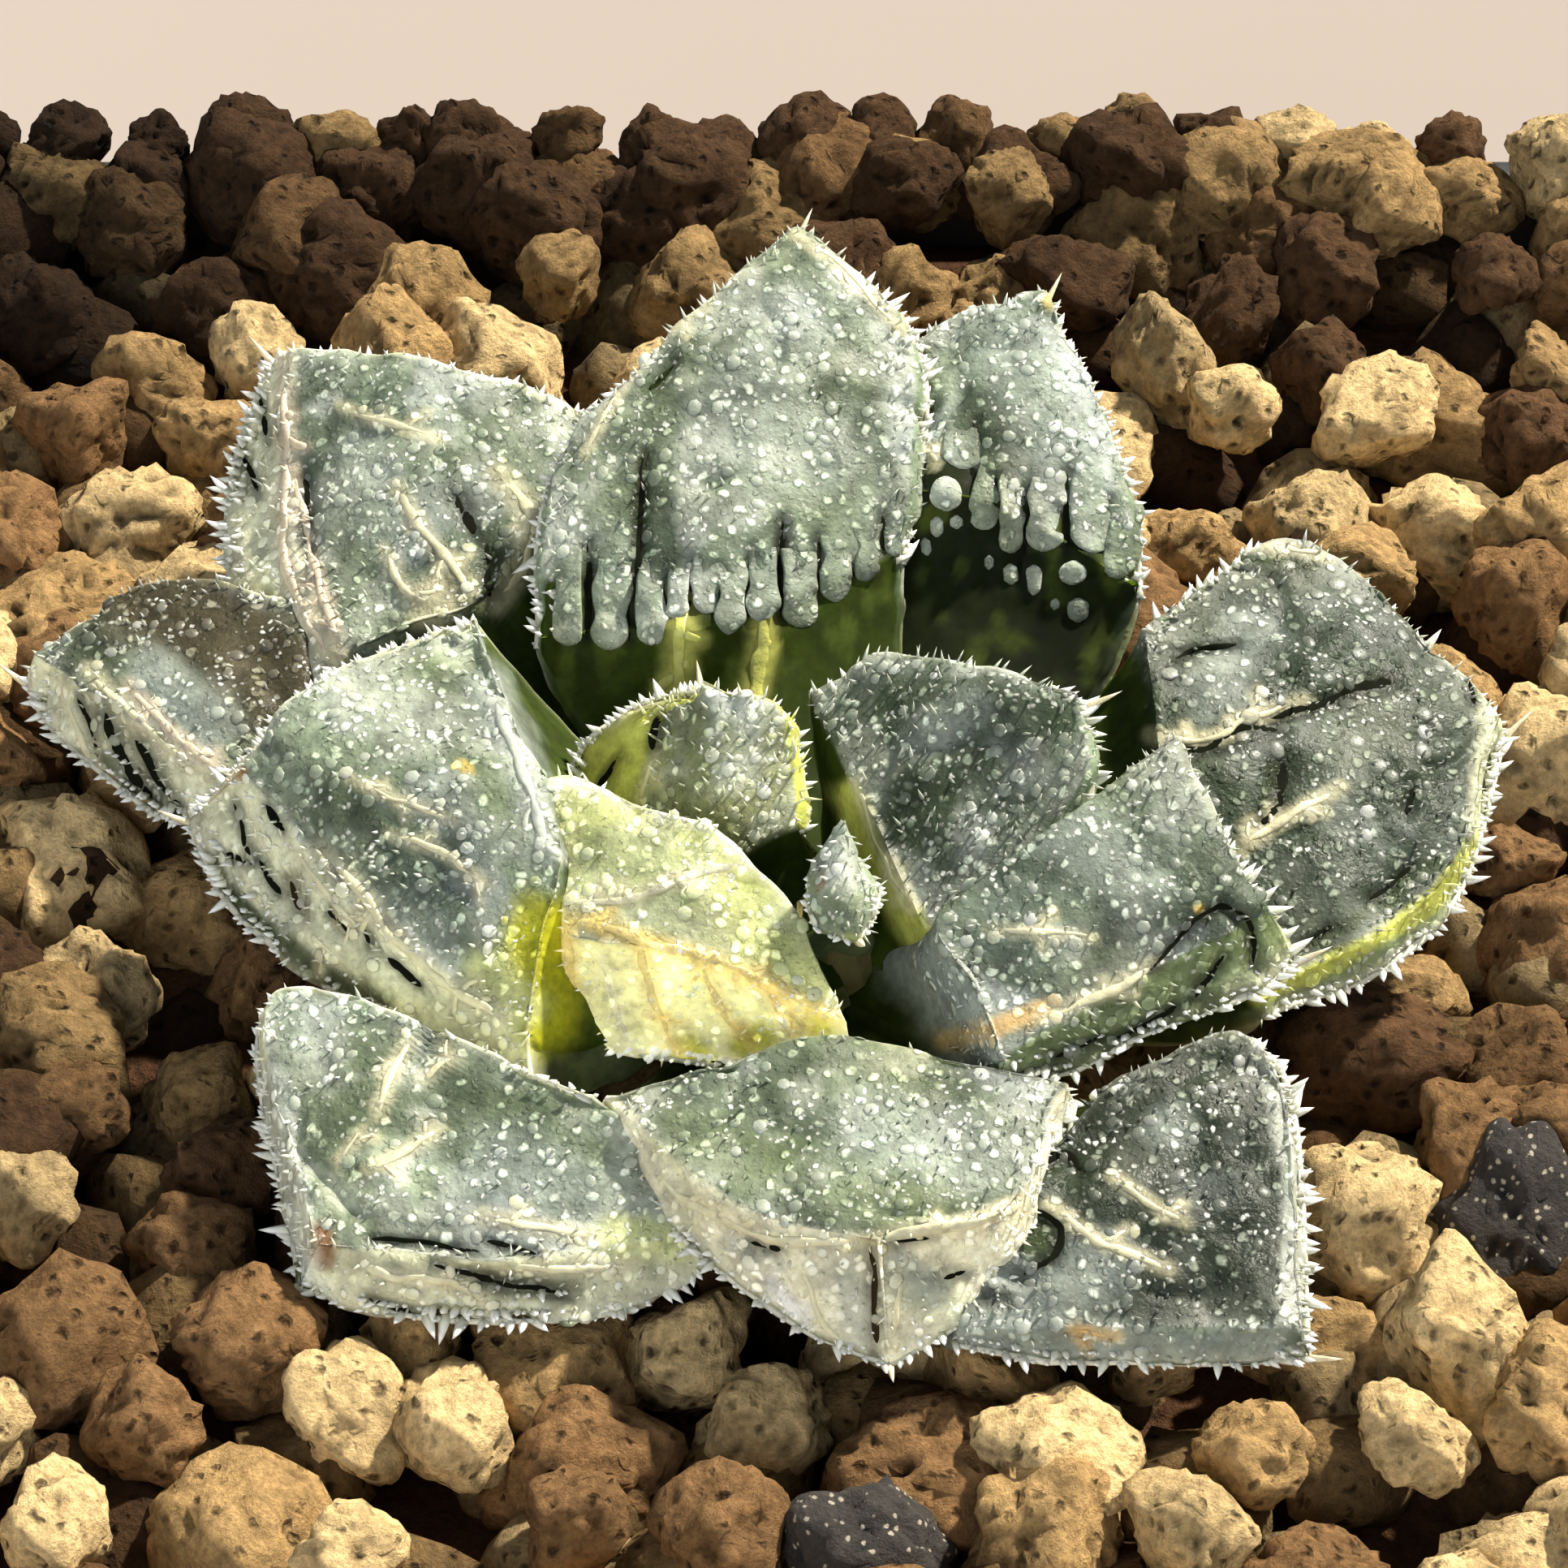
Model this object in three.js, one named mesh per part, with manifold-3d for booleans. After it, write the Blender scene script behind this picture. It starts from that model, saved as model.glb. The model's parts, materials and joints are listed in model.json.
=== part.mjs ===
// A potted obtusa haworthia hybrid: a low rosette of fat leaves whose clear, toothed ends face up and out,
// growing from a short rooted stem in a square pot of porous grain mix.
// Millimetres, +Z up. The origin is the centre of the pot's underside.

import * as THREE from 'three';
import { mergeVertices } from 'three/addons/utils/BufferGeometryUtils.js';
import Module from 'manifold-3d';

const wasm = await Module();
wasm.setup();

// Driving dimensions of the pot, as half widths of its rounded square and heights from its underside
const POT_HEIGHT = 78;
const BASE_HALF = 33;
const NECK_HALF = 43.2;
const RIM_HALF = 45;
const RIM_HEIGHT = 8;
const WALL = 1.2;
const FLOOR_TOP = 2.8;
const FOOT_RECESS = 1.2;
const FOOT_WIDTH = 2.5;
const PAD_HALF = 8;
const BASE_CORNER = 8;
const NECK_CORNER = 11;
const CORNER_STEPS = 5;
const EDGE = 0.7;
const DRAIN_RADIUS = 3.9;
const DRAIN_OFFSET = 18;
const DRAIN_SIDES = 10;

// Driving dimensions of the soil and its grains
const GAP = 0.3;
const SOIL_LEVEL = 79;
const BED_DEPTH = 1;
const GRAIN_PITCH = 6.3;
const GRAIN_RADIUS = 3.5;
const GRAIN_SPREAD = 0.2;
const GRAIN_SINK = 1.3;
const NEST_DEPTH = 1.3;
const NEST_CENTRE = [-1, 2];
const NEST_STRETCH = 1.2;
const NEST_INNER = 12;
const NEST_OUTER = 20;

// Driving dimensions of the stem and its roots; the stem stands a little in front of the pot's centre
const STEM = new THREE.Vector3(0.5, -2, SOIL_LEVEL);
const STEM_RADIUS = 2.6;
const STEM_TOP = 6;
const STEM_BOTTOM = -12;
const ROOT_COUNT = 5;
const ROOT_LENGTH = 34;
const ROOT_SPREAD = 13;
const ROOT_RADIUS = 1.3;

// Leaf form: where the rings lie along the body and along the end face, the size of the base, the least
// height above the soil level, and the room that the other pieces leave round a leaf
const BODY_STEPS = [0, 0.38, 0.76];
const FACE_STEPS = [0, 0.24, 0.5, 0.75, 0.93];
const LEAF_BASE_HALF = 2.6;
const LEAF_BASE_THICK = 1.1;
const LEAF_REST = 0.4;
const CLEARANCE = 0.55;

// Marginal teeth
const TOOTH_PITCH = 1.6;
const TOOTH_LENGTH = 1.1;
const TOOTH_RADIUS = 0.3;
const TOOTH_ROOT = 0.45;

// The leaves, youngest first. Each end face is given by its corners, as x, y from the pot's centre and z
// above the soil level. Left and right are as seen looking outwards. A skirt folds down from the face's edge:
// its reach and drop on the left, at the tip and on the right. "root" is the height of the base on the stem.
const LEAVES = [
  {
    name: 'leaf_bud', color: 0x8f9878, root: 5.5, thick: 1.6, crown: 0.4,
    skirt: [[0.4, 0.8], [0.2, 0.5], [0.3, 0.6]],
    innerLeft: [0.9, -3.9, 9.1], left: [2, -5, 10.2], tip: [0.9, -5.9, 10.5],
    right: [-0.4, -5.4, 9.6], innerRight: [-0.5, -3.9, 8.8], innerMid: [0.8, -3.2, 10],
  },
  {
    name: 'leaf_inner_left', color: 0x8c9268, root: 4.6, thick: 3, crown: 1,
    skirt: [[3.2, 1.8], [0.4, 1], [0.3, 0.9]],
    innerLeft: [-5.5, 1, 7], left: [-5, 3, 9.5], tip: [-3.5, 3.5, 11],
    right: [-1, 2.5, 10.5], innerRight: [-0.5, 0, 8], innerMid: [-2.5, -1, 7.5],
  },
  {
    name: 'leaf_inner_front', color: 0xc2c67c, root: 4.2, thick: 3.4, crown: 0.6,
    skirt: [[1.2, 2.9], [0.5, 3], [0.3, 0.9]],
    innerLeft: [1, -7.5, 6.7], left: [-3.1, -6, 7.9], tip: [-7.7, -5.1, 8],
    right: [-8.3, 0, 9.5], innerRight: [-3.3, -2, 9.9], innerMid: [-0.6, -4.2, 8.4],
  },
  {
    name: 'leaf_inner_right', color: 0x6a7664, root: 4, thick: 4, crown: 1,
    skirt: [[0.3, 0.9], [0.3, 0.9], [0.3, 0.9]],
    innerLeft: [0, 4.5, 9.5], left: [3, 4.5, 11], tip: [8.5, 2, 12],
    right: [8.5, -0.5, 10], innerRight: [4, -5, 7], innerMid: [2, -0.5, 8.5],
  },
  {
    name: 'leaf_right', color: 0x96a294, root: 3.2, thick: 5, crown: 0.6,
    skirt: [[0.3, 0.9], [1, 2.4], [0.9, 2]],
    innerLeft: [11.5, 0.5, 11], left: [13, -2, 9.5], tip: [14.5, -4, 8],
    right: [11, -6, 7.5], innerRight: [6, -9, 6.5], innerMid: [4, -5, 9],
  },
  {
    name: 'leaf_left', color: 0x9ba798, root: 3, thick: 6.5, crown: 0.8,
    skirt: [[2.4, 2.8], [2, 3.2], [0.3, 0.9]],
    innerLeft: [-9, -7.5, 6], left: [-15, -2, 7], tip: [-18.5, 2.5, 8],
    right: [-16, 5.5, 9.5], innerRight: [-11, 7.5, 10], innerMid: [-8, -2.5, 9.5],
  },
  {
    name: 'leaf_back_right', color: 0x98a496, root: 2.6, thick: 6.5, crown: 0.8,
    skirt: [[0.3, 0.9], [0.2, 0.8], [0.3, 0.9]],
    innerLeft: [1, 14.5, 9.5], left: [4, 19.5, 12], tip: [8, 21, 12.5],
    right: [10.5, 15, 10], innerRight: [11, 11.5, 7.5], innerMid: [6, 13, 10],
  },
  {
    name: 'leaf_front', color: 0x9ca798, root: 2.2, thick: 4.5, crown: 0.5,
    skirt: [[0.6, 2], [1.8, 3.9], [0.6, 2]],
    innerLeft: [8, -9.5, 6], left: [6, -14.5, 6], tip: [2, -16, 6],
    right: [-2.5, -14.5, 6], innerRight: [-6.5, -10, 6], innerMid: [0.5, -8.5, 7],
  },
  {
    name: 'leaf_back', color: 0x97a395, root: 2.3, thick: 6.5, crown: 0.9,
    skirt: [[0.3, 0.9], [0.2, 0.8], [0.3, 0.9]],
    innerLeft: [-9, 8, 8.5], left: [-8, 14, 12], tip: [-0.5, 22, 14.5],
    right: [3.5, 18, 13], innerRight: [3, 11.5, 9], innerMid: [-3, 7.5, 9.5],
  },
  {
    name: 'leaf_far_right', color: 0x909c8c, root: 1.8, thick: 5, crown: 0.8,
    skirt: [[0.3, 0.9], [0.3, 1.2], [0.3, 1.6]],
    innerLeft: [11, 9, 8], left: [16.5, 13.5, 8], tip: [23, 7.5, 5.5],
    right: [20.5, 0.5, 4.5], innerRight: [14.5, -4, 4], innerMid: [11.5, 2.5, 7],
  },
  {
    name: 'leaf_back_left', color: 0x97a394, root: 1.6, thick: 6, crown: 0.6,
    skirt: [[2.6, 2.4], [1.2, 1.4], [0.3, 0.9]],
    innerLeft: [-15.5, 9.5, 6.5], left: [-18, 16.5, 7], tip: [-18, 22, 9],
    right: [-12, 20, 10], innerRight: [-7, 18.5, 9], innerMid: [-11, 10, 8.5],
  },
  {
    name: 'leaf_front_right', color: 0x828e82, root: 1.3, thick: 3.4, crown: 0.4,
    skirt: [[0.3, 0.9], [0.4, 1.2], [0.4, 1.2]],
    innerLeft: [9, -9, 5], left: [14.5, -7.5, 5.5], tip: [15, -17, 3],
    right: [10, -17, 3], innerRight: [4.5, -17, 3], innerMid: [6, -13.5, 5],
  },
  {
    name: 'leaf_front_left', color: 0x8d998c, root: 1.2, thick: 3.6, crown: 0.5,
    skirt: [[1.2, 2], [0.6, 2], [0.3, 0.9]],
    innerLeft: [-3.5, -13.5, 3.5], left: [-9.5, -15, 4], tip: [-15.5, -14, 3.5],
    right: [-17, -5, 5.5], innerRight: [-7, -10, 6], innerMid: [-4, -12, 5],
  },
  {
    name: 'leaf_far_left', color: 0x8a927e, root: 1.2, thick: 4.5, crown: 0.4,
    skirt: [[1.3, 2.6], [0.4, 1.6], [0.3, 0.9]],
    innerLeft: [-19, 5, 4.5], left: [-24, 9.5, 4.5], tip: [-26.5, 12, 4],
    right: [-22.5, 14, 5.5], innerRight: [-17, 12.5, 6], innerMid: [-17, 8.5, 5.5],
  },
];

// Points closer than this are one point, and edges shorter than these are drawn together
const WELD = 1e-3;
const LEAF_DETAIL = 0.08;
const SOIL_DETAIL = 0.3;
const COARSEST_DETAIL = 0.3;

const UP = new THREE.Vector3(0, 0, 1);

// A repeatable draw between 0 and 1
function draw(seed) {
  const wave = Math.sin(seed * 12.9898 + 78.233) * 43758.5453;
  return wave - Math.floor(wave);
}

// The same, between -1 and 1
function spread(seed) {
  return 2 * draw(seed) - 1;
}

function mix(a, b, t) {
  return a.clone().lerp(b, t);
}

function smooth(low, high, value) {
  return THREE.MathUtils.smoothstep(value, low, high);
}

function level(vector) {
  return new THREE.Vector3(vector.x, vector.y, 0).normalize();
}

// A smooth curve through points, and a cubic between two points with given end directions
function through(points) {
  return new THREE.CatmullRomCurve3(points, false, 'catmullrom', 0.5);
}

function hermite(start, startPull, end, endPull, t) {
  const back = 1 - t;
  return start.clone().multiplyScalar(back * back * (1 + 2 * t))
    .addScaledVector(startPull, back * back * t)
    .addScaledVector(end, t * t * (3 - 2 * t))
    .addScaledVector(endPull, -t * t * back);
}

// A closed skin over rings with the same number of points, drawn to a point at both ends
function skin(first, rings, last) {
  const count = rings[0].length;
  const points = [first, ...rings.flat(), last];
  const end = points.length - 1;
  const faces = [];
  for (let i = 0; i < count; i += 1) {
    const j = (i + 1) % count;
    faces.push(0, 1 + j, 1 + i);
    for (let row = 0; row < rings.length - 1; row += 1) {
      const low = 1 + row * count;
      const high = low + count;
      faces.push(low + i, low + j, high + j, low + i, high + j, high + i);
    }
    const top = 1 + (rings.length - 1) * count;
    faces.push(top + i, top + j, end);
  }
  const geometry = new THREE.BufferGeometry().setFromPoints(points);
  geometry.setIndex(faces);
  return geometry;
}

// Every point of a skin moved outwards along its normal
function swell(geometry, distance) {
  geometry.computeVertexNormals();
  const place = geometry.attributes.position;
  const normal = geometry.attributes.normal;
  for (let i = 0; i < place.count; i += 1) {
    place.setXYZ(
      i,
      place.getX(i) + normal.getX(i) * distance,
      place.getY(i) + normal.getY(i) * distance,
      place.getZ(i) + normal.getZ(i) * distance,
    );
  }
  return geometry;
}

// Between drawn geometry and solids that can be joined and cut
function solid(geometry) {
  const bare = geometry.clone();
  bare.deleteAttribute('normal');
  bare.deleteAttribute('uv');
  const merged = mergeVertices(bare, WELD);
  return new wasm.Manifold(new wasm.Mesh({
    numProp: 3,
    vertProperties: new Float32Array(merged.attributes.position.array),
    triVerts: new Uint32Array(merged.index.array),
  }));
}

function largest(body) {
  return body.decompose().reduce((best, piece) => (piece.volume() > best.volume() ? piece : best));
}

function drawn(body) {
  const mesh = body.getMesh();
  const geometry = new THREE.BufferGeometry();
  geometry.setAttribute('position', new THREE.BufferAttribute(new Float32Array(mesh.vertProperties), 3));
  geometry.setIndex(new THREE.BufferAttribute(new Uint32Array(mesh.triVerts), 1));
  return geometry;
}

// Whether more than two faces meet at an edge, where a cut has left two parts of a body just touching
function isPinched(body) {
  const geometry = drawn(body);
  const { index } = geometry;
  const corner = (i) => new THREE.Vector3().fromBufferAttribute(geometry.attributes.position, i)
    .toArray().map((value) => value.toFixed(4)).join();
  const uses = new Map();
  for (let i = 0; i < index.count; i += 1) {
    const next = i % 3 === 2 ? i - 2 : i + 1;
    const edge = [corner(index.getX(i)), corner(index.getX(next))].sort().join();
    uses.set(edge, (uses.get(edge) || 0) + 1);
  }
  return [...uses.values()].some((count) => count > 2);
}

// One body without scraps, pinches or edges shorter than the detail
function neat(body, detail) {
  const tidy = largest(solid(drawn(largest(body.simplify(detail)))));
  return isPinched(tidy) && detail < COARSEST_DETAIL ? neat(body, detail * 1.3) : tidy;
}

// A level ring with rounded corners
function squareRing(half, corner, z) {
  const ring = [];
  for (let quarter = 0; quarter < 4; quarter += 1) {
    for (let step = 0; step <= CORNER_STEPS; step += 1) {
      const angle = (quarter + step / CORNER_STEPS) * Math.PI / 2;
      const sideX = quarter === 0 || quarter === 3 ? 1 : -1;
      const sideY = quarter < 2 ? 1 : -1;
      const x = sideX * (half - corner) + corner * Math.cos(angle);
      const y = sideY * (half - corner) + corner * Math.sin(angle);
      ring.push(new THREE.Vector3(x, y, z));
    }
  }
  return ring;
}

// Half width of the pot's outer wall, and its corner radius, at a height
function wallHalf(z) {
  return BASE_HALF + (NECK_HALF - BASE_HALF) * z / (POT_HEIGHT - RIM_HEIGHT);
}

function wallCorner(z) {
  return BASE_CORNER + (NECK_CORNER - BASE_CORNER) * z / (POT_HEIGHT - RIM_HEIGHT);
}

// The pot: a foot ring and centre pad below, tapered walls, a rim band, and drainage holes through the floor
function makePot() {
  const rimBase = POT_HEIGHT - RIM_HEIGHT;
  const rimCorner = NECK_CORNER + RIM_HALF - NECK_HALF;
  const footInner = BASE_HALF - FOOT_WIDTH;
  const inner = (z) => squareRing(wallHalf(z) - WALL, wallCorner(z) - WALL, z);
  const rings = [
    squareRing(PAD_HALF, PAD_HALF / 2, 0),
    squareRing(PAD_HALF + EDGE, PAD_HALF / 2 + EDGE, FOOT_RECESS),
    squareRing(footInner - EDGE, BASE_CORNER - FOOT_WIDTH - EDGE, FOOT_RECESS),
    squareRing(footInner, BASE_CORNER - FOOT_WIDTH, 0),
    squareRing(BASE_HALF - EDGE, BASE_CORNER - EDGE, 0),
    squareRing(wallHalf(EDGE), wallCorner(EDGE), EDGE),
    squareRing(NECK_HALF, NECK_CORNER, rimBase),
    squareRing(RIM_HALF - EDGE, rimCorner - EDGE, rimBase),
    squareRing(RIM_HALF, rimCorner, rimBase + EDGE),
    squareRing(RIM_HALF, rimCorner, POT_HEIGHT - EDGE),
    squareRing(RIM_HALF - EDGE, rimCorner - EDGE, POT_HEIGHT),
    inner(POT_HEIGHT),
    inner(FLOOR_TOP),
  ];
  const under = new THREE.Vector3(0, 0, 0);
  const floor = new THREE.Vector3(0, 0, FLOOR_TOP);
  let pot = solid(skin(under, rings, floor));
  for (const [x, y] of [[1, 1], [-1, 1], [-1, -1], [1, -1], [1.1, 0], [-1.1, 0], [0, 1.1], [0, -1.1]]) {
    const drill = new THREE.CylinderGeometry(DRAIN_RADIUS, DRAIN_RADIUS, 3 * FLOOR_TOP, DRAIN_SIDES);
    drill.rotateX(Math.PI / 2).translate(x * DRAIN_OFFSET, y * DRAIN_OFFSET, FLOOR_TOP);
    pot = pot.subtract(solid(drill));
  }
  return pot;
}

// The stem with its thick roots
function makeStem(grow) {
  const profile = [[0, STEM_BOTTOM], [STEM_RADIUS * 0.7, STEM_BOTTOM], [STEM_RADIUS, STEM_BOTTOM + 3],
    [STEM_RADIUS, 2.5], [STEM_RADIUS * 0.75, 4.4], [STEM_RADIUS * 0.4, STEM_TOP], [0, STEM_TOP + 0.3]];
  const lathe = new THREE.LatheGeometry(profile.map(([radius, z]) => new THREE.Vector2(radius, z)), 10);
  const merged = mergeVertices(stripped(lathe.rotateX(Math.PI / 2)), 1e-4);
  let stem = solid(swell(merged, grow).translate(STEM.x, STEM.y, STEM.z));
  for (let i = 0; i < ROOT_COUNT; i += 1) {
    stem = stem.add(solid(swell(makeRoot(i), grow)));
  }
  return stem;
}

function stripped(geometry) {
  geometry.deleteAttribute('normal');
  geometry.deleteAttribute('uv');
  return geometry;
}

// One tapering root, out and down from the foot of the stem
function makeRoot(index) {
  const angle = (index + 0.3 * spread(index + 3)) * 2 * Math.PI / ROOT_COUNT;
  const out = new THREE.Vector3(Math.cos(angle), Math.sin(angle), 0);
  const start = STEM.clone().add(new THREE.Vector3(0, 0, STEM_BOTTOM + 4));
  const reach = ROOT_SPREAD * (0.8 + 0.4 * draw(index + 9));
  const drop = ROOT_LENGTH * (0.8 + 0.2 * draw(index));
  const end = start.clone().addScaledVector(out, reach).addScaledVector(UP, -drop);
  const side = new THREE.Vector3().crossVectors(UP, out);
  const rings = [0, 0.3, 0.6, 0.9].map((t) => {
    const centre = hermite(
      start, out.clone().multiplyScalar(reach * 1.6), end, UP.clone().multiplyScalar(-ROOT_LENGTH), t,
    );
    const radius = ROOT_RADIUS * (1 - 0.6 * t);
    return [0, 1, 2, 3, 4].map((k) => {
      const turn = k * 2 * Math.PI / 5;
      return centre.clone().addScaledVector(side, radius * Math.cos(turn))
        .addScaledVector(mix(UP, out, t).normalize(), radius * Math.sin(turn));
    });
  });
  return skin(start.clone().addScaledVector(out, -1), rings, end);
}

// The corners of a leaf's end face in the part's frame, with its outward direction and its normal
function frameOf(leaf) {
  const place = (corner) => new THREE.Vector3(corner[0], corner[1], corner[2] + SOIL_LEVEL);
  const face = {};
  for (const corner of ['innerLeft', 'left', 'tip', 'right', 'innerRight', 'innerMid']) {
    face[corner] = place(leaf[corner]);
  }
  const inner = mix(face.innerLeft, face.innerRight, 0.5);
  face.normal = new THREE.Vector3().crossVectors(
    face.tip.clone().sub(face.innerMid),
    face.innerLeft.clone().sub(face.innerRight),
  ).normalize();
  face.out = level(face.tip.clone().sub(inner));
  const middle = mix(inner, face.tip, 0.4);
  face.away = level(middle.clone().sub(STEM));
  face.mid = mix(face.left, face.right, 0.5).addScaledVector(face.normal, leaf.crown);
  face.leftEdge = through([face.innerLeft, face.left, face.tip]);
  face.rightEdge = through([face.innerRight, face.right, face.tip]);
  face.midLine = through([face.innerMid, face.mid, face.tip]);
  return face;
}

// A point of the toothed margin: the face's edge carried out and down by the skirt
function marginAt(leaf, face, t, isLeft) {
  const edge = (isLeft ? face.leftEdge : face.rightEdge).getPoint(t);
  const other = (isLeft ? face.rightEdge : face.leftEdge).getPoint(Math.min(t, 0.9));
  const sideways = level(edge.clone().sub(other));
  const direction = level(mix(sideways, face.out, t ** 3));
  const [reach, drop] = leaf.skirt[isLeft ? 0 : 2];
  const [tipReach, tipDrop] = leaf.skirt[1];
  const opening = 0.5 + 0.5 * Math.min(1, 4 * t);
  const toTip = t * t;
  return {
    point: edge.addScaledVector(direction, opening * (reach + (tipReach - reach) * toTip))
      .addScaledVector(UP, -opening * (drop + (tipDrop - drop) * toTip)),
    direction,
  };
}

// One ring across the end face: left margin, over the face, right margin, and back round the keel
function faceRing(leaf, face, t) {
  const left = marginAt(leaf, face, t, true);
  const right = marginAt(leaf, face, t, false);
  const leftEdge = face.leftEdge.getPoint(t);
  const rightEdge = face.rightEdge.getPoint(t);
  const mid = face.midLine.getPoint(t);
  const lift = 0.25 * leaf.crown * (1 - t);
  const depth = leaf.thick * (1 - t) ** 0.7;
  const keel = mix(left.point, right.point, 0.5).addScaledVector(face.normal, -depth);
  keel.z = Math.max(keel.z, SOIL_LEVEL + LEAF_REST + 1.5 * t);
  const under = (margin) => mix(margin.point, keel, 0.5)
    .addScaledVector(margin.direction, 0.14 * depth)
    .addScaledVector(UP, -0.08 * depth);
  return [
    left.point, leftEdge, mix(leftEdge, mid, 0.5).addScaledVector(face.normal, lift), mid,
    mix(rightEdge, mid, 0.5).addScaledVector(face.normal, lift), rightEdge, right.point,
    under(right), keel, under(left),
  ];
}

// The ring where the leaf leaves the stem, point for point like a ring of the face
function baseRing(leaf, face) {
  const centre = STEM.clone().addScaledVector(face.away, 0.8).addScaledVector(UP, leaf.root);
  const left = new THREE.Vector3().crossVectors(UP, face.away);
  const places = [
    [1, 0], [0.8, 0.5], [0.4, 0.8], [0, 0.9], [-0.4, 0.8], [-0.8, 0.5], [-1, 0],
    [-0.6, -0.7], [0, -1], [0.6, -0.7],
  ];
  const narrow = Math.min(1, leaf.thick / 3);
  return places.map(([across, rise]) => centre.clone()
    .addScaledVector(left, across * LEAF_BASE_HALF * narrow)
    .addScaledVector(UP, rise * LEAF_BASE_THICK));
}

// A leaf's skin: its body curves out from the stem and up to the face's inner edge, then the face to the tip
function leafSkin(leaf, face) {
  const base = baseRing(leaf, face);
  const knee = faceRing(leaf, face, 0);
  const next = faceRing(leaf, face, 0.2);
  const span = knee[3].distanceTo(base[3]);
  const body = BODY_STEPS.map((t) => knee.map((point, i) => {
    const isUpper = i < 7;
    const arrive = isUpper ? mix(UP, face.away, 0.25) : next[i].clone().sub(point).normalize();
    return hermite(
      base[i], face.away.clone().multiplyScalar(span), point, arrive.clone().multiplyScalar(span * 0.9), t,
    );
  }));
  const rings = [...body, ...FACE_STEPS.map((t) => faceRing(leaf, face, t))];
  const start = STEM.clone().addScaledVector(UP, leaf.root);
  const tip = marginAt(leaf, face, 1, true).point;
  return skin(start, rings, tip);
}

// Three-sided teeth along both margins of the face
function teeth(leaf, face, grow) {
  const all = [];
  for (const isLeft of [true, false]) {
    const edge = isLeft ? face.leftEdge : face.rightEdge;
    const count = Math.round(edge.getLength() / TOOTH_PITCH);
    for (let i = 0; i < count; i += 1) {
      const seed = i + 40 * (isLeft ? 1 : 2) + 100 * leaf.root;
      const t = (i + 0.5 + 0.25 * spread(seed)) / count;
      const { point, direction } = marginAt(leaf, face, t, isLeft);
      const aim = direction.clone().addScaledVector(face.out, 0.35 + 0.3 * spread(seed + 7))
        .addScaledVector(UP, 0.25 + 0.3 * spread(seed + 13)).normalize();
      const length = TOOTH_LENGTH * (0.85 + 0.3 * draw(seed + 5)) * Math.min(1, leaf.thick / 3);
      const tooth = new THREE.ConeGeometry(TOOTH_RADIUS + grow, length + TOOTH_ROOT + 2 * grow, 3);
      tooth.applyQuaternion(new THREE.Quaternion().setFromUnitVectors(new THREE.Vector3(0, 1, 0), aim));
      const centre = point.addScaledVector(aim, (length - TOOTH_ROOT) / 2 + grow);
      all.push(solid(tooth.translate(centre.x, centre.y, centre.z)));
    }
  }
  return all;
}

function makeLeaf(leaf, grow) {
  const face = frameOf(leaf);
  const body = solid(swell(leafSkin(leaf, face), grow));
  return wasm.Manifold.union([body, ...teeth(leaf, face, grow)]);
}

// The room that a leaf keeps clear round itself
function makeLeafRoom(leaf) {
  return wasm.Manifold.union([CLEARANCE, CLEARANCE / 2, 0].map((grow) => makeLeaf(leaf, grow)));
}

// One grain: a twenty-sided lump, stretched, turned and roughened by its number
function makeGrain(number, x, y, z) {
  const lump = mergeVertices(stripped(new THREE.IcosahedronGeometry(1, 0)), 1e-4);
  const place = lump.attributes.position;
  for (let i = 0; i < place.count; i += 1) {
    const rough = 1 + 0.16 * spread(number * 31 + i * 7);
    place.setXYZ(i, place.getX(i) * rough, place.getY(i) * rough, place.getZ(i) * rough);
  }
  const size = GRAIN_RADIUS * (1 + GRAIN_SPREAD * spread(number + 11));
  lump.scale(size * (1 + 0.15 * spread(number + 17)), size * (1 + 0.15 * spread(number + 23)), size * 0.88);
  lump.rotateX(0.6 * spread(number + 29)).rotateZ(Math.PI * spread(number + 37));
  return solid(lump.translate(x, y, z));
}

// Grains on a jittered hexagonal grid over the whole top of the pot, lower where the rosette lies on them
function grains() {
  const limit = wallHalf(POT_HEIGHT) - WALL - GAP;
  const corner = wallCorner(POT_HEIGHT) - WALL;
  const reach = limit - GRAIN_RADIUS * 1.28;
  const columns = Math.round(2 * reach / GRAIN_PITCH);
  const rows = Math.round(2 * reach / (GRAIN_PITCH * 0.87));
  const all = [];
  for (let row = 0; row <= rows; row += 1) {
    for (let column = 0; column <= columns; column += 1) {
      const number = row * 41 + column;
      const stagger = row % 2 ? 0.25 : -0.25;
      const x = reach * clamp(2 * (column + stagger + 0.2 * spread(number)) / columns - 1);
      const y = reach * clamp(2 * (row + 0.2 * spread(number + 5)) / rows - 1);
      const overX = Math.max(0, Math.abs(x) - (limit - corner));
      const overY = Math.max(0, Math.abs(y) - (limit - corner));
      if (Math.hypot(overX, overY) > corner - GRAIN_RADIUS * 1.28) continue;
      const fromPlant = Math.hypot((x - NEST_CENTRE[0]) / NEST_STRETCH, y - NEST_CENTRE[1]);
      const nest = NEST_DEPTH * (1 - smooth(NEST_INNER, NEST_OUTER, fromPlant));
      const z = SOIL_LEVEL - GRAIN_SINK + 0.7 * spread(number + 43) - nest;
      all.push(makeGrain(number, x, y, z));
    }
  }
  return all;
}

function clamp(value) {
  return THREE.MathUtils.clamp(value, -1, 1);
}

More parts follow.
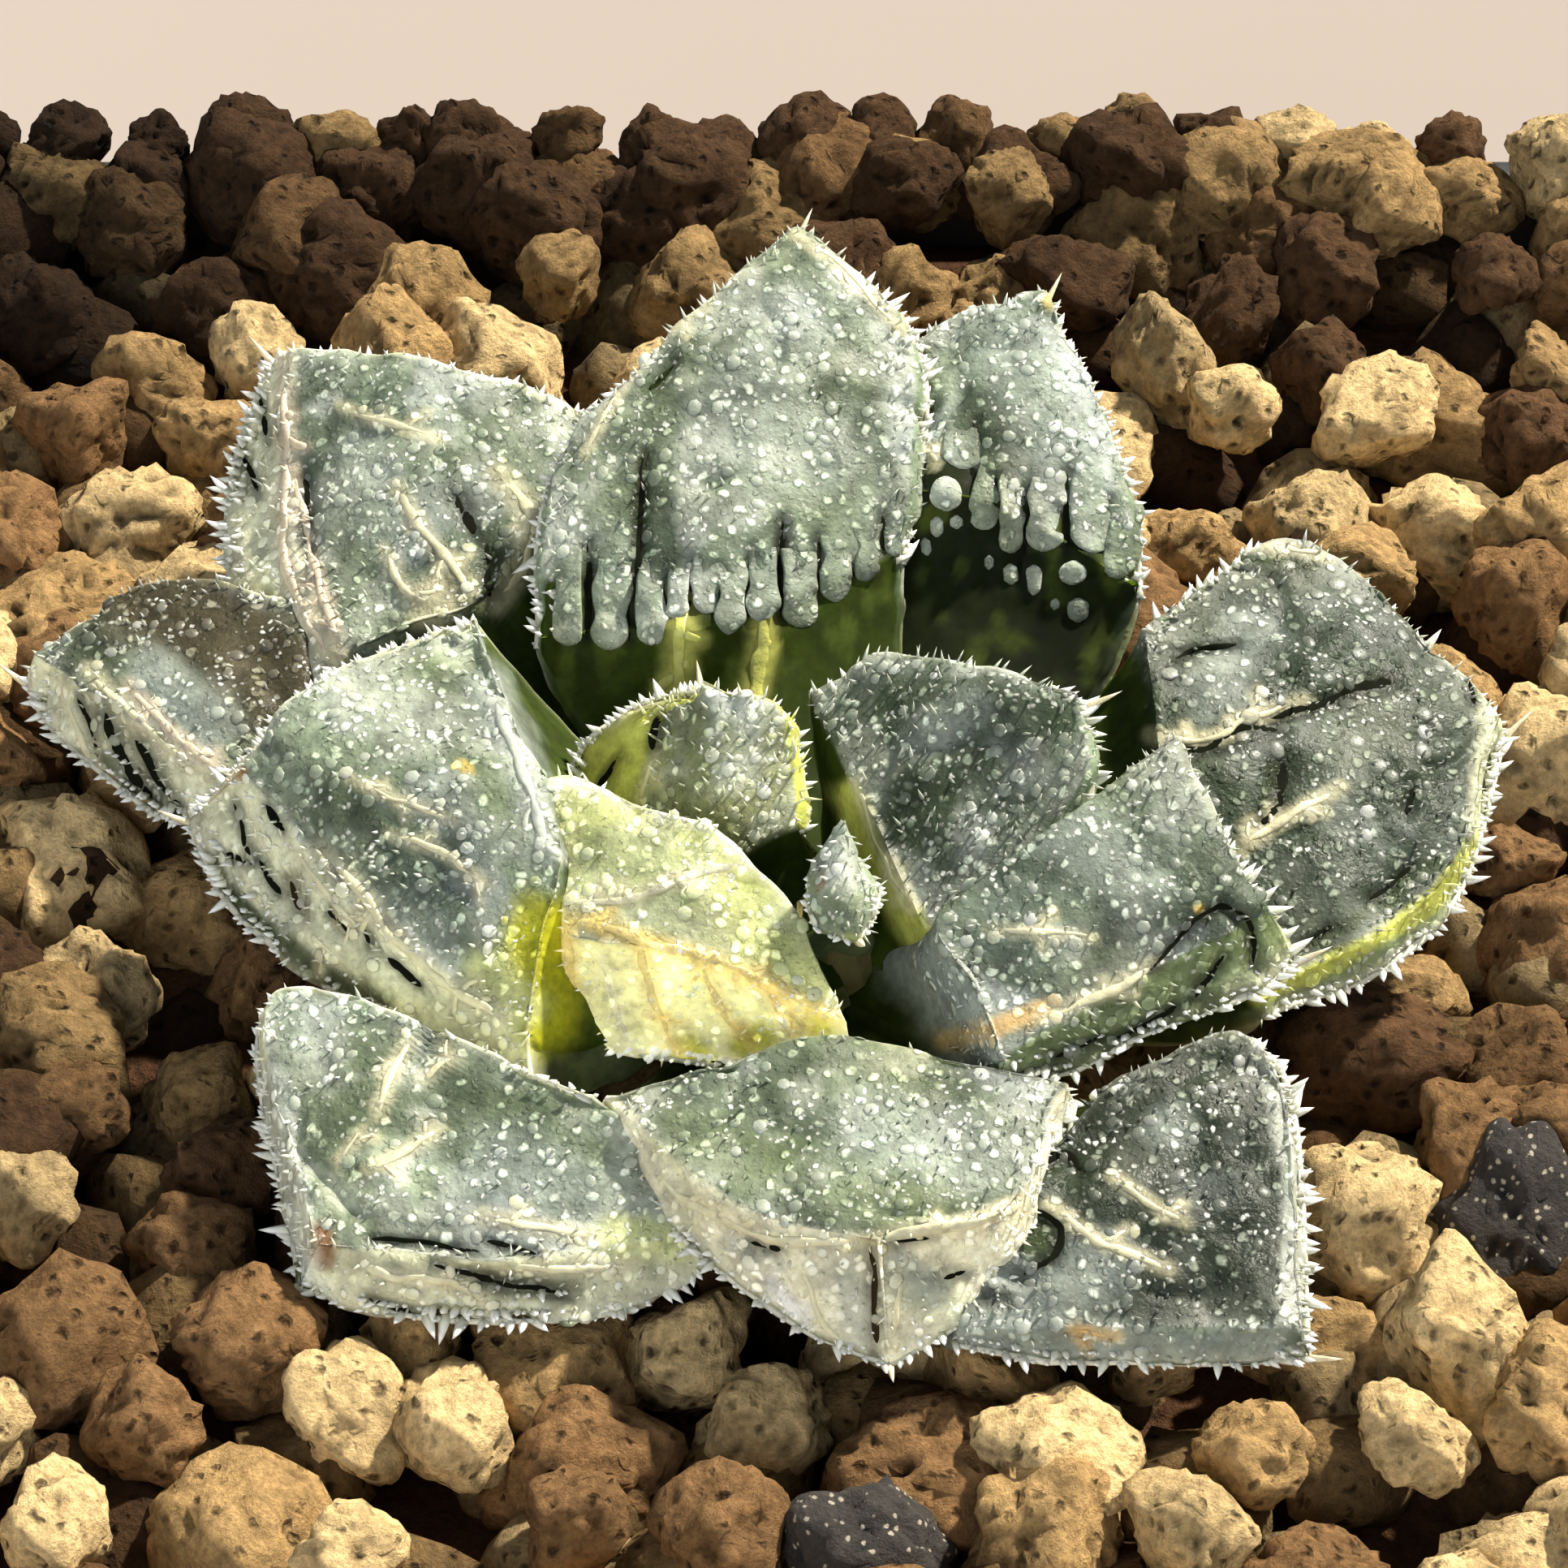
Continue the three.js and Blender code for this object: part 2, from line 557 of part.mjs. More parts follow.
// The soil: a bed that fills the pot, grains raised from its top, and room for the stem and the lower leaves
function makeSoil(stemRoom, leafRooms) {
  const low = FLOOR_TOP + GAP;
  const high = SOIL_LEVEL - BED_DEPTH;
  const ring = (z) => squareRing(wallHalf(z) - WALL - GAP, wallCorner(z) - WALL - GAP, z);
  const foot = new THREE.Vector3(0, 0, low);
  const top = new THREE.Vector3(0, 0, high);
  const bed = solid(skin(foot, [ring(low), ring(high)], top));
  let soil = wasm.Manifold.union([bed, ...grains()]);
  soil = soil.subtract(wasm.Manifold.union([stemRoom, ...leafRooms]));
  return neat(soil, SOIL_DETAIL);
}

function material(color, roughness) {
  return new THREE.MeshStandardMaterial({ color, roughness, metalness: 0 });
}

const plant = new THREE.Group();

function place(name, body, look) {
  const mesh = new THREE.Mesh(drawn(body), look);
  mesh.name = name;
  plant.add(mesh);
}

const stemRoom = makeStem(GAP);
const leafRooms = LEAVES.map(makeLeafRoom);

place('pot', makePot(), material(0x2b2c2e, 0.45));
place('soil', makeSoil(stemRoom, leafRooms), material(0xa87c50, 0.95));
place('stem_and_roots', makeStem(0), material(0xb9a56a, 0.7));
LEAVES.forEach((leaf, i) => {
  const younger = wasm.Manifold.union([stemRoom, ...leafRooms.slice(0, i)]);
  const body = neat(makeLeaf(leaf, 0).subtract(younger), LEAF_DETAIL);
  place(leaf.name, body, material(leaf.color, 0.4));
});

export default plant;
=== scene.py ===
import itertools
import json
import math

import bmesh
import bpy
import numpy as np
from mathutils import Matrix, Vector
from mathutils.bvhtree import BVHTree
from mathutils.kdtree import KDTree


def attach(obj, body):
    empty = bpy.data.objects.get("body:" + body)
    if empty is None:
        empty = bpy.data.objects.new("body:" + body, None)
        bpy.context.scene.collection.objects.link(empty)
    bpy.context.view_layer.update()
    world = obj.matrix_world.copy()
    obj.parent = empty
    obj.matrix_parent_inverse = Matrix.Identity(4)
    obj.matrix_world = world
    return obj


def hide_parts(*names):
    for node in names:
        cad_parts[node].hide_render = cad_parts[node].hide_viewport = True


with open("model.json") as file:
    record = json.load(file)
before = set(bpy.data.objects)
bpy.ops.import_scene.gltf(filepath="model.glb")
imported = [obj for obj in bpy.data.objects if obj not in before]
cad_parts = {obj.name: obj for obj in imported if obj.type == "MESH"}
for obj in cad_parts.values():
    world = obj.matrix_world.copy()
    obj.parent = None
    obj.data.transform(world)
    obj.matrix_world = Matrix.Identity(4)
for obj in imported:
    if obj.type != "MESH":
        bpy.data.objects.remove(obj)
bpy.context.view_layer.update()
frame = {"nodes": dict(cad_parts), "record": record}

# All sizes are millimetres until a mesh is made
MM = 0.001
SOIL = 79.0
STEM = np.array([0.5, -2.0, SOIL])
UP = np.array([0.0, 0.0, 1.0])

# The camera looks along +Y, down at the rosette
TARGET = np.array([-0.9, 5.7, SOIL + 4.0])
DISTANCE = 200.0
TILT = math.radians(45)
AHEAD = np.array([0.0, math.cos(TILT), -math.sin(TILT)])
ABOVE = np.array([0.0, math.sin(TILT), math.cos(TILT)])
EYE = TARGET - DISTANCE * AHEAD
PICTURE = 1932
PIXELS_PER_MM = 37.0
SENSOR = 36.0


def linear(*channels):
    """A colour given as 0 to 255 screen values, as linear light."""
    return np.array([(c / 255 / 12.92) if c < 11 else ((c / 255 + 0.055) / 1.055) ** 2.4 for c in channels])


# Repeatable draws and noise

def drawn(number, seed=0):
    """Repeatable draws between 0 and 1 for an array of numbers."""
    wave = np.sin(np.asarray(number, float) * 12.9898 + seed * 4.1414 + 78.233) * 43758.5453
    return wave - np.floor(wave)


def spread(number, seed=0):
    return 2 * drawn(number, seed) - 1


def cell_draw(cells, seed):
    """Repeatable draws between 0 and 1 for lattice cells."""
    mixed = cells @ np.array([73856093, 19349663, 83492791]) + seed * 7919
    mixed = ((mixed ^ (mixed >> 13)) * 1274126177) & 0xFFFFFFFF
    mixed = ((mixed ^ (mixed >> 15)) * 668265263) & 0xFFFFFFFF
    return ((mixed ^ (mixed >> 16)) & 0xFFFFFF) / 0x1000000


def noise(points, seed=0):
    """Smooth noise between -1 and 1."""
    cells = np.floor(points).astype(np.int64)
    part = points - cells
    part = part * part * (3 - 2 * part)
    total = np.zeros(points.shape[:-1])
    for corner in itertools.product((0, 1), repeat=3):
        weight = np.prod(np.where(np.array(corner) == 1, part, 1 - part), axis=-1)
        total += weight * cell_draw(cells + np.array(corner), seed)
    return 2 * total - 1


def rough(points, seed=0, layers=3):
    """Noise over several octaves."""
    return sum(noise(points * 2 ** k, seed + k) / 2 ** k for k in range(layers)) / 1.6


def layered(points, layers):
    """Noises added up, each given as its height, its size and its seed."""
    return sum(high * noise(points / size, seed) for high, size, seed in layers)


def spots(points, seed=0):
    """Distance to the nearest of points scattered one to a cell."""
    cells = np.floor(points).astype(np.int64)
    best = np.full(points.shape[:-1], 9.0)
    for offset in itertools.product((-1, 0, 1), repeat=3):
        near = cells + np.array(offset)
        spot = near + np.stack([cell_draw(near, seed + k) for k in (11, 23, 37)], -1)
        best = np.minimum(best, np.linalg.norm(points - spot, axis=-1))
    return best


def smooth(low, high, value):
    part = np.clip((value - low) / (high - low), 0, 1)
    return part * part * (3 - 2 * part)


def mix(a, b, part):
    return a + (b - a) * part


def unit(vectors):
    return vectors / np.maximum(np.linalg.norm(vectors, axis=-1, keepdims=True), 1e-9)


def level(vectors):
    return unit(np.asarray(vectors, float) * np.array([1.0, 1.0, 0.0]))


# Curves

def run_along(line):
    """The distance along a line to each of its points."""
    return np.concatenate([[0], np.cumsum(np.linalg.norm(np.diff(line, axis=0), axis=1))])


def hermite(start, start_pull, end, end_pull, t):
    back = 1 - t
    return (start * back * back * (1 + 2 * t) + start_pull * back * back * t
            + end * t * t * (3 - 2 * t) - end_pull * t * t * back)


def through(points, t):
    """A smooth curve through points, at every t. The points run along the first axis."""
    points = np.asarray(points, float)
    ends = np.concatenate([[2 * points[0] - points[1]], points, [2 * points[-1] - points[-2]]])
    place = np.clip(np.asarray(t, float), 0, 1) * (len(points) - 1)
    i = np.minimum(place.astype(int), len(points) - 2)
    part = (place - i).reshape((-1,) + (1,) * (points.ndim - 1))
    before, start, end, after = ends[i], ends[i + 1], ends[i + 2], ends[i + 3]
    return hermite(start, (end - before) / 2, end, (after - start) / 2, part)


# The picture's pixels

def pixels(points):
    """Where points show in the picture."""
    offset = points - EYE
    scale = PIXELS_PER_MM * DISTANCE / (offset @ AHEAD)
    return np.stack([PICTURE / 2 + offset[..., 0] * scale, PICTURE / 2 - (offset @ ABOVE) * scale], -1)


def sight(pixel):
    """The direction of sight through a pixel."""
    side = (pixel[0] - PICTURE / 2) / (PIXELS_PER_MM * DISTANCE)
    rise = (PICTURE / 2 - pixel[1]) / (PIXELS_PER_MM * DISTANCE)
    return unit(AHEAD + np.array([side, 0.0, 0.0]) + rise * ABOVE)


# Meshes

class Parts:
    """Triangles gathered for one piece, with a colour and a frosting for each vertex and a material for
    each triangle."""

    def __init__(self):
        self.points, self.tris, self.tints, self.looks = [], [], [], []
        self.count = 0

    def add(self, points, tris, tint, look=0, frost=1.0):
        colours = np.ones((len(points), 4), np.float32)
        colours[:, :3] = tint
        colours[:, 3] = frost
        self.points.append(points)
        self.tints.append(colours)
        self.tris.append(tris + self.count)
        self.looks.append(np.full(len(tris), look))
        self.count += len(points)

    def piece(self, name, materials, slot, *nodes):
        points = np.concatenate(self.points)
        tris = np.concatenate(self.tris)
        mesh = bpy.data.meshes.new(name)
        mesh.vertices.add(len(points))
        mesh.vertices.foreach_set("co", (points * MM).astype(np.float32).ravel())
        mesh.loops.add(tris.size)
        mesh.loops.foreach_set("vertex_index", tris.astype(np.int32).ravel())
        mesh.polygons.add(len(tris))
        mesh.polygons.foreach_set("loop_start", np.arange(0, tris.size, 3, dtype=np.int32))
        mesh.polygons.foreach_set("material_index", np.concatenate(self.looks).astype(np.int32))
        mesh.update(calc_edges=True)
        mesh.shade_smooth()
        tint = mesh.color_attributes.new("tint", "FLOAT_COLOR", "POINT")
        tint.data.foreach_set("color", np.clip(np.concatenate(self.tints), 0, 1).ravel())
        for material in materials:
            mesh.materials.append(material)
        made = bpy.data.objects.new(name, mesh)
        bpy.context.scene.collection.objects.link(made)
        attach(made, "root")
        if nodes:
            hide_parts(*nodes)
        return made


def lattice(rows, columns):
    """Every pair from two ranges, or two arrays, as flat arrays."""
    return (a.ravel() for a in np.meshgrid(rows, columns, indexing="ij"))


def tube_faces(rows, columns):
    """Triangles over rings that close on themselves."""
    row, column = lattice(range(rows - 1), range(columns))
    a = row * columns + column
    b = row * columns + (column + 1) % columns
    c, d = b + columns, a + columns
    return np.concatenate([np.stack([a, b, c], -1), np.stack([a, c, d], -1)])


def closed_tube(rings, first, last):
    """Rings joined to one closed skin that ends in two points."""
    rows, columns = rings.shape[:2]
    points = np.concatenate([rings.reshape(-1, 3), [first, last]])
    i = np.arange(columns)
    j = (i + 1) % columns
    start = np.stack([np.full(columns, rows * columns), j, i], -1)
    top = (rows - 1) * columns
    end = np.stack([top + i, top + j, np.full(columns, rows * columns + 1)], -1)
    return points, np.concatenate([tube_faces(rows, columns), start, end])


def volume(points, tris):
    a, b, c = (points[tris[:, k]] for k in range(3))
    return np.einsum("ij,ij->", a - a.mean(0), np.cross(b - a.mean(0), c - a.mean(0))) / 6


def outward(points, tris):
    return tris if volume(points, tris) > 0 else tris[:, ::-1]


def normals(points, tris):
    a, b, c = (points[tris[:, k]] for k in range(3))
    flat = np.cross(b - a, c - a)
    total = np.zeros_like(points)
    for k in range(3):
        for axis in range(3):
            total[:, axis] += np.bincount(tris[:, k], flat[:, axis], len(points))
    return unit(total)


def stamp(shape, places, axes, sizes):
    """One small shape set down at many places. Axes holds each copy's three directions as rows."""
    points, tris = shape
    copies = np.einsum("nk,vk,nkj->nvj", sizes, points, axes) + places[:, None]
    faces = tris[None] + len(points) * np.arange(len(places))[:, None, None]
    return copies.reshape(-1, 3), faces.reshape(-1, 3)


def axes_for(upward, hint):
    """Three directions at right angles for each upward direction, the first leaning to the hint."""
    side = unit(np.cross(upward, hint))
    return np.stack([unit(np.cross(side, upward)), side, upward], 1)


def thorn(sides, radii, heights, bend):
    """A closed cone with its foot below zero and its point at one."""
    turn = np.arange(sides) * 2 * math.pi / sides
    rings = np.stack([
        np.stack([r * np.cos(turn) + bend * h * abs(h), r * np.sin(turn), np.full(sides, h)], -1)
        for r, h in zip(radii, heights)])
    points, tris = closed_tube(rings, np.array([0, 0, heights[0]]), np.array([bend, 0, 1.0]))
    return points, outward(points, tris)


def tube_along(path, ways, radius, flat=1.0, sink=1.0):
    """A closed band along a path, rounded above. Its height is its radius times flat, and its depth that
    radius times sink."""
    forward = unit(np.gradient(path, axis=0))
    side = unit(np.cross(forward, ways))
    way = np.cross(side, forward)
    half = np.broadcast_to(radius, len(path))[:, None]
    outline = [(1, -0.2), (0.92, 0.42), (0.58, 0.83), (0, 1.0),
               (-0.58, 0.83), (-0.92, 0.42), (-1, -0.2), (0, -1)]
    rings = [path + half * (side * a + way * b * (flat if b > 0 else sink)) for a, b in outline]
    points, tris = closed_tube(np.stack(rings, 1), path[0], path[-1])
    return points, outward(points, tris)


# Materials

class Nodes:
    """Short ways to add nodes to a material."""

    def __init__(self, name):
        self.material = bpy.data.materials.new(name)
        self.material.use_nodes = True
        self.tree = self.material.node_tree
        self.shader = self.tree.nodes["Principled BSDF"]
        self.place = self.tree.nodes.new("ShaderNodeTexCoord").outputs["Object"]

    def feed(self, socket, value):
        """Links another node's output to a socket, or gives the socket a value."""
        if isinstance(value, bpy.types.NodeSocket):
            self.tree.links.new(value, socket)
        else:
            socket.default_value = value

    def node(self, kind, **values):
        made = self.tree.nodes.new("ShaderNode" + kind)
        for key, value in values.items():
            socket = made.inputs.get(key.replace("_", " "))
            if socket is None:
                setattr(made, key, value)
            else:
                self.feed(socket, value)
        return made

    def set(self, **values):
        for key, value in values.items():
            self.feed(self.shader.inputs[key.replace("_", " ")], value)

    def maths(self, operation, first, second):
        made = self.node("Math", operation=operation)
        self.feed(made.inputs[0], first)
        self.feed(made.inputs[1], second)
        return made.outputs[0]

    def vector(self, operation, first, second):
        made = self.node("VectorMath", operation=operation)
        self.feed(made.inputs[0], first)
        self.feed(made.inputs["Scale" if operation == "SCALE" else 1], second)
        return made.outputs["Vector"]

    def times(self, colour, factor):
        return self.vector("SCALE", colour, factor)

    def blend(self, part, first, second):
        """Two colours mixed, each from a node or fixed."""
        made = self.node("Mix", data_type="RGBA")
        self.feed(made.inputs[0], part)
        for socket, colour in zip((made.inputs[6], made.inputs[7]), (first, second)):
            self.feed(socket, (*colour, 1.0) if isinstance(colour, np.ndarray) else colour)
        return made.outputs[2]

    def ramp(self, value, low, high, start, end):
        made = self.node("MapRange", Value=value, From_Min=low, From_Max=high, To_Min=start, To_Max=end)
        return made.outputs["Result"]

    def noise(self, size_mm, detail=3.0, roughness=0.5, output="Fac"):
        made = self.node("TexNoise", Vector=self.place, Scale=1 / (size_mm * MM), Detail=detail,
                         Roughness=roughness)
        return made.outputs[output]

    def uneven(self, low, high, size_mm, detail=3.0, roughness=0.5):
        """Noise spread between two values."""
        return self.ramp(self.noise(size_mm, detail, roughness), 0.3, 0.7, low, high)

    def cells(self, size_mm, warp_mm, shift_mm):
        """The distance to the nearest of scattered points, in coordinates that noise shifts about."""
        stir = self.vector("SUBTRACT", self.noise(warp_mm, 2.0, output="Color"), (0.5, 0.5, 0.5))
        place = self.vector("ADD", self.place, self.vector("SCALE", stir, 2 * shift_mm * MM))
        return self.node("TexVoronoi", Vector=place, Scale=1 / (size_mm * MM)).outputs["Distance"]

    def tint(self, output="Color"):
        """The colour stored on the mesh, painted shade and light included, or with Alpha its frosting."""
        return self.node("Attribute", attribute_name="tint").outputs[output]

    def bump(self, height, distance_mm):
        made = self.node("Bump", Height=height, Distance=distance_mm * MM)
        self.set(Normal=made.outputs["Normal"])


def leaf_skin_material(name, depth_mm, painted_glow=0.0):
    """See-through skin: where it is frosted, soft pale dots and a few painted glints over a mottled, darker
    ground.
    Painted glow is the strength of an emission painted in for daylight that comes through from behind."""
    n = Nodes(name)
    frost = n.tint("Alpha")
    dots = n.maths("MULTIPLY", n.ramp(n.cells(0.6, 0.6, 0.22), 0.2, 0.34, 1.0, 0.0), frost)
    dots = n.maths("MULTIPLY", dots, n.ramp(n.noise(1.1), 0.36, 0.56, 0.25, 1.0))
    ground = n.times(n.tint(), n.ramp(n.noise(0.6, 6, 0.68), 0.32, 0.68, 0.6, 1.25))
    ground = n.times(ground, n.ramp(n.noise(2.8), 0.35, 0.65, 0.72, 1.14))
    pale = n.blend(0.2, n.times(n.tint(), 2.9), PAPILLA)
    # White specks in patches of noise are painted glints; the specks also roughen the bump
    specks = n.ramp(n.cells(0.32, 0.3, 0.12), 0.2, 0.34, 1.0, 0.0)
    glint_patches = n.ramp(n.noise(1.6), 0.5, 0.62, 0.0, 0.75)
    painted_glints = n.maths("MULTIPLY", n.maths("MULTIPLY", specks, glint_patches), frost)
    colour = n.blend(painted_glints, n.blend(dots, ground, pale), WHITE)
    gloss = n.maths("ADD", n.uneven(0.34, 0.56, 0.5), n.ramp(frost, 0.0, 0.5, 0.3, 0.0))
    n.set(Base_Color=colour, Roughness=gloss, Specular_IOR_Level=0.15)
    n.set(Subsurface_Weight=0.36, Subsurface_Scale=depth_mm * MM, Subsurface_Radius=(1.0, 1.0, 0.7))
    # Emission is a painted glow standing in for daylight through the leaf
    if painted_glow:
        n.set(Emission_Color=n.times(colour, n.uneven(0.75, 1.0, 2.0)), Emission_Strength=painted_glow)
    grain = n.maths("ADD", n.maths("MULTIPLY", n.noise(0.16, 2), 0.4), n.maths("MULTIPLY", specks, 0.35))
    n.bump(n.maths("ADD", dots, n.maths("MULTIPLY", grain, frost)), 0.13)
    return n.material


def leaf_detail_material():
    n = Nodes("leaf_detail")
    n.set(Base_Color=n.times(n.tint(), n.uneven(0.86, 1.12, 0.4)), Roughness=0.42)
    n.set(Subsurface_Weight=0.5, Subsurface_Scale=0.12 * MM, Subsurface_Radius=(1.0, 1.0, 0.9))
    n.set(Coat_Weight=0.06, Coat_Roughness=0.15)
    n.bump(n.noise(0.15, 3, 0.6), 0.03)
    return n.material


def leaf_slit_material():
    n = Nodes("leaf_slit")
    n.set(Base_Color=n.times(n.tint(), n.uneven(0.6, 1.4, 0.5, 4)), Roughness=0.9, Specular_IOR_Level=0.1)
    return n.material


def grain_material():
    n = Nodes("grain")
    fine = n.noise(0.45, 6, 0.72)
    pits = n.cells(0.8, 0.5, 0.3)
    # Darker in the pits as painted shade
    shade = n.maths("MULTIPLY", n.ramp(pits, 0.1, 0.3, 0.36, 1.0), n.ramp(fine, 0.3, 0.7, 0.48, 1.4))
    colour = n.times(n.times(n.tint(), shade), n.uneven(0.82, 1.15, 1.6))
    n.set(Base_Color=colour, Roughness=0.95, Specular_IOR_Level=0.12)
    n.bump(n.maths("ADD", n.ramp(pits, 0.06, 0.3, -0.8, 0.0), fine), 0.5)
    return n.material


def dark_grain_material():
    n = Nodes("grain_dark")
    flecks = n.ramp(n.cells(0.4, 0.3, 0.1), 0.16, 0.26, 1.0, 0.0)
    base = n.times(n.tint(), n.uneven(0.5, 1.5, 0.4, 5, 0.7))
    n.set(Base_Color=n.blend(flecks, base, linear(176, 166, 148)), Roughness=0.85)
    n.bump(n.noise(0.3, 5, 0.7), 0.3)
    return n.material


def bed_material():
    n = Nodes("bed")
    colour = n.times(n.tint(), n.uneven(0.5, 1.3, 0.8, 5, 0.7))
    n.set(Base_Color=colour, Roughness=1.0, Specular_IOR_Level=0.1)
    n.bump(n.noise(0.6, 5, 0.7), 0.5)
    return n.material


def pot_material():
    """Dusty dark plastic."""
    n = Nodes("pot_plastic")
    dust = n.ramp(n.noise(9.0, 6, 0.65), 0.5, 0.8, 0.0, 0.35)
    base = n.blend(dust, linear(42, 43, 45), linear(92, 86, 78))
    n.set(Base_Color=base, Roughness=n.uneven(0.38, 0.6, 2.5, 4, 0.6))
    n.bump(n.noise(0.35, 2, 0.5), 0.03)
    return n.material


def stem_material():
    n = Nodes("stem_skin")
    colour = n.blend(n.noise(4.0), linear(92, 84, 44), linear(136, 128, 76))
    n.set(Base_Color=n.times(colour, n.uneven(0.6, 1.25, 1.2, 4, 0.6)), Roughness=0.7)
    n.bump(n.noise(0.6, 4, 0.6), 0.15)
    return n.material


def floor_material():
    n = Nodes("floor_paint")
    colour = n.blend(n.noise(60.0), linear(156, 146, 138), linear(163, 153, 145))
    n.set(Base_Color=colour, Roughness=0.9, Specular_IOR_Level=0.2)
    return n.material


# Leaves

# Colours of the leaves' parts
WINDOW = linear(128, 142, 116)
DIM_WINDOW = linear(78, 92, 70)
WARM_WINDOW = linear(152, 156, 112)
DARK_WINDOW = linear(54, 70, 46)
SILVER = linear(168, 176, 166)
PAPILLA = linear(212, 217, 202)
WHITE = linear(238, 240, 232)
INNER_SIDE = linear(44, 58, 2)
INNER_STREAK = linear(84, 98, 34)
STRIP = linear(206, 206, 110)
UNDER_SIDE = linear(112, 124, 84)
# Side facets are paler partly in their own colour and partly as painted light coming through the leaf
SMOOTH_SIDE = linear(224, 226, 190)
PALE_SIDE = linear(244, 240, 206)
MOSS = linear(118, 132, 92)
MARGIN = linear(208, 206, 180)
CREAM = linear(222, 216, 178)
RIDGE = linear(220, 204, 176)
LIME = linear(194, 194, 40)
OLIVE = linear(198, 202, 98)
GOLD = linear(222, 192, 100)
AMBER = linear(234, 208, 124)
PEACH = linear(222, 186, 120)
PALE_GREEN = linear(226, 232, 160)
# Partly painted light coming through the glowing leaf's lower facet
PALE_YELLOW = linear(253, 248, 176)
RUST = linear(150, 100, 54)
# The brown of a painted shadow that one leaf casts on another
LEAF_SHADOW_BROWN = linear(70, 64, 46)
SLIT = linear(26, 30, 14)
SLIT_GREEN = linear(50, 62, 26)
SLIT_BROWN = linear(64, 54, 30)
# How much the windows' red, green and blue drift about, and how dark they lie under their frosting
HUE_DRIFT = np.array([0.05, 0.02, -0.2])
WINDOW_DEPTH = 0.87

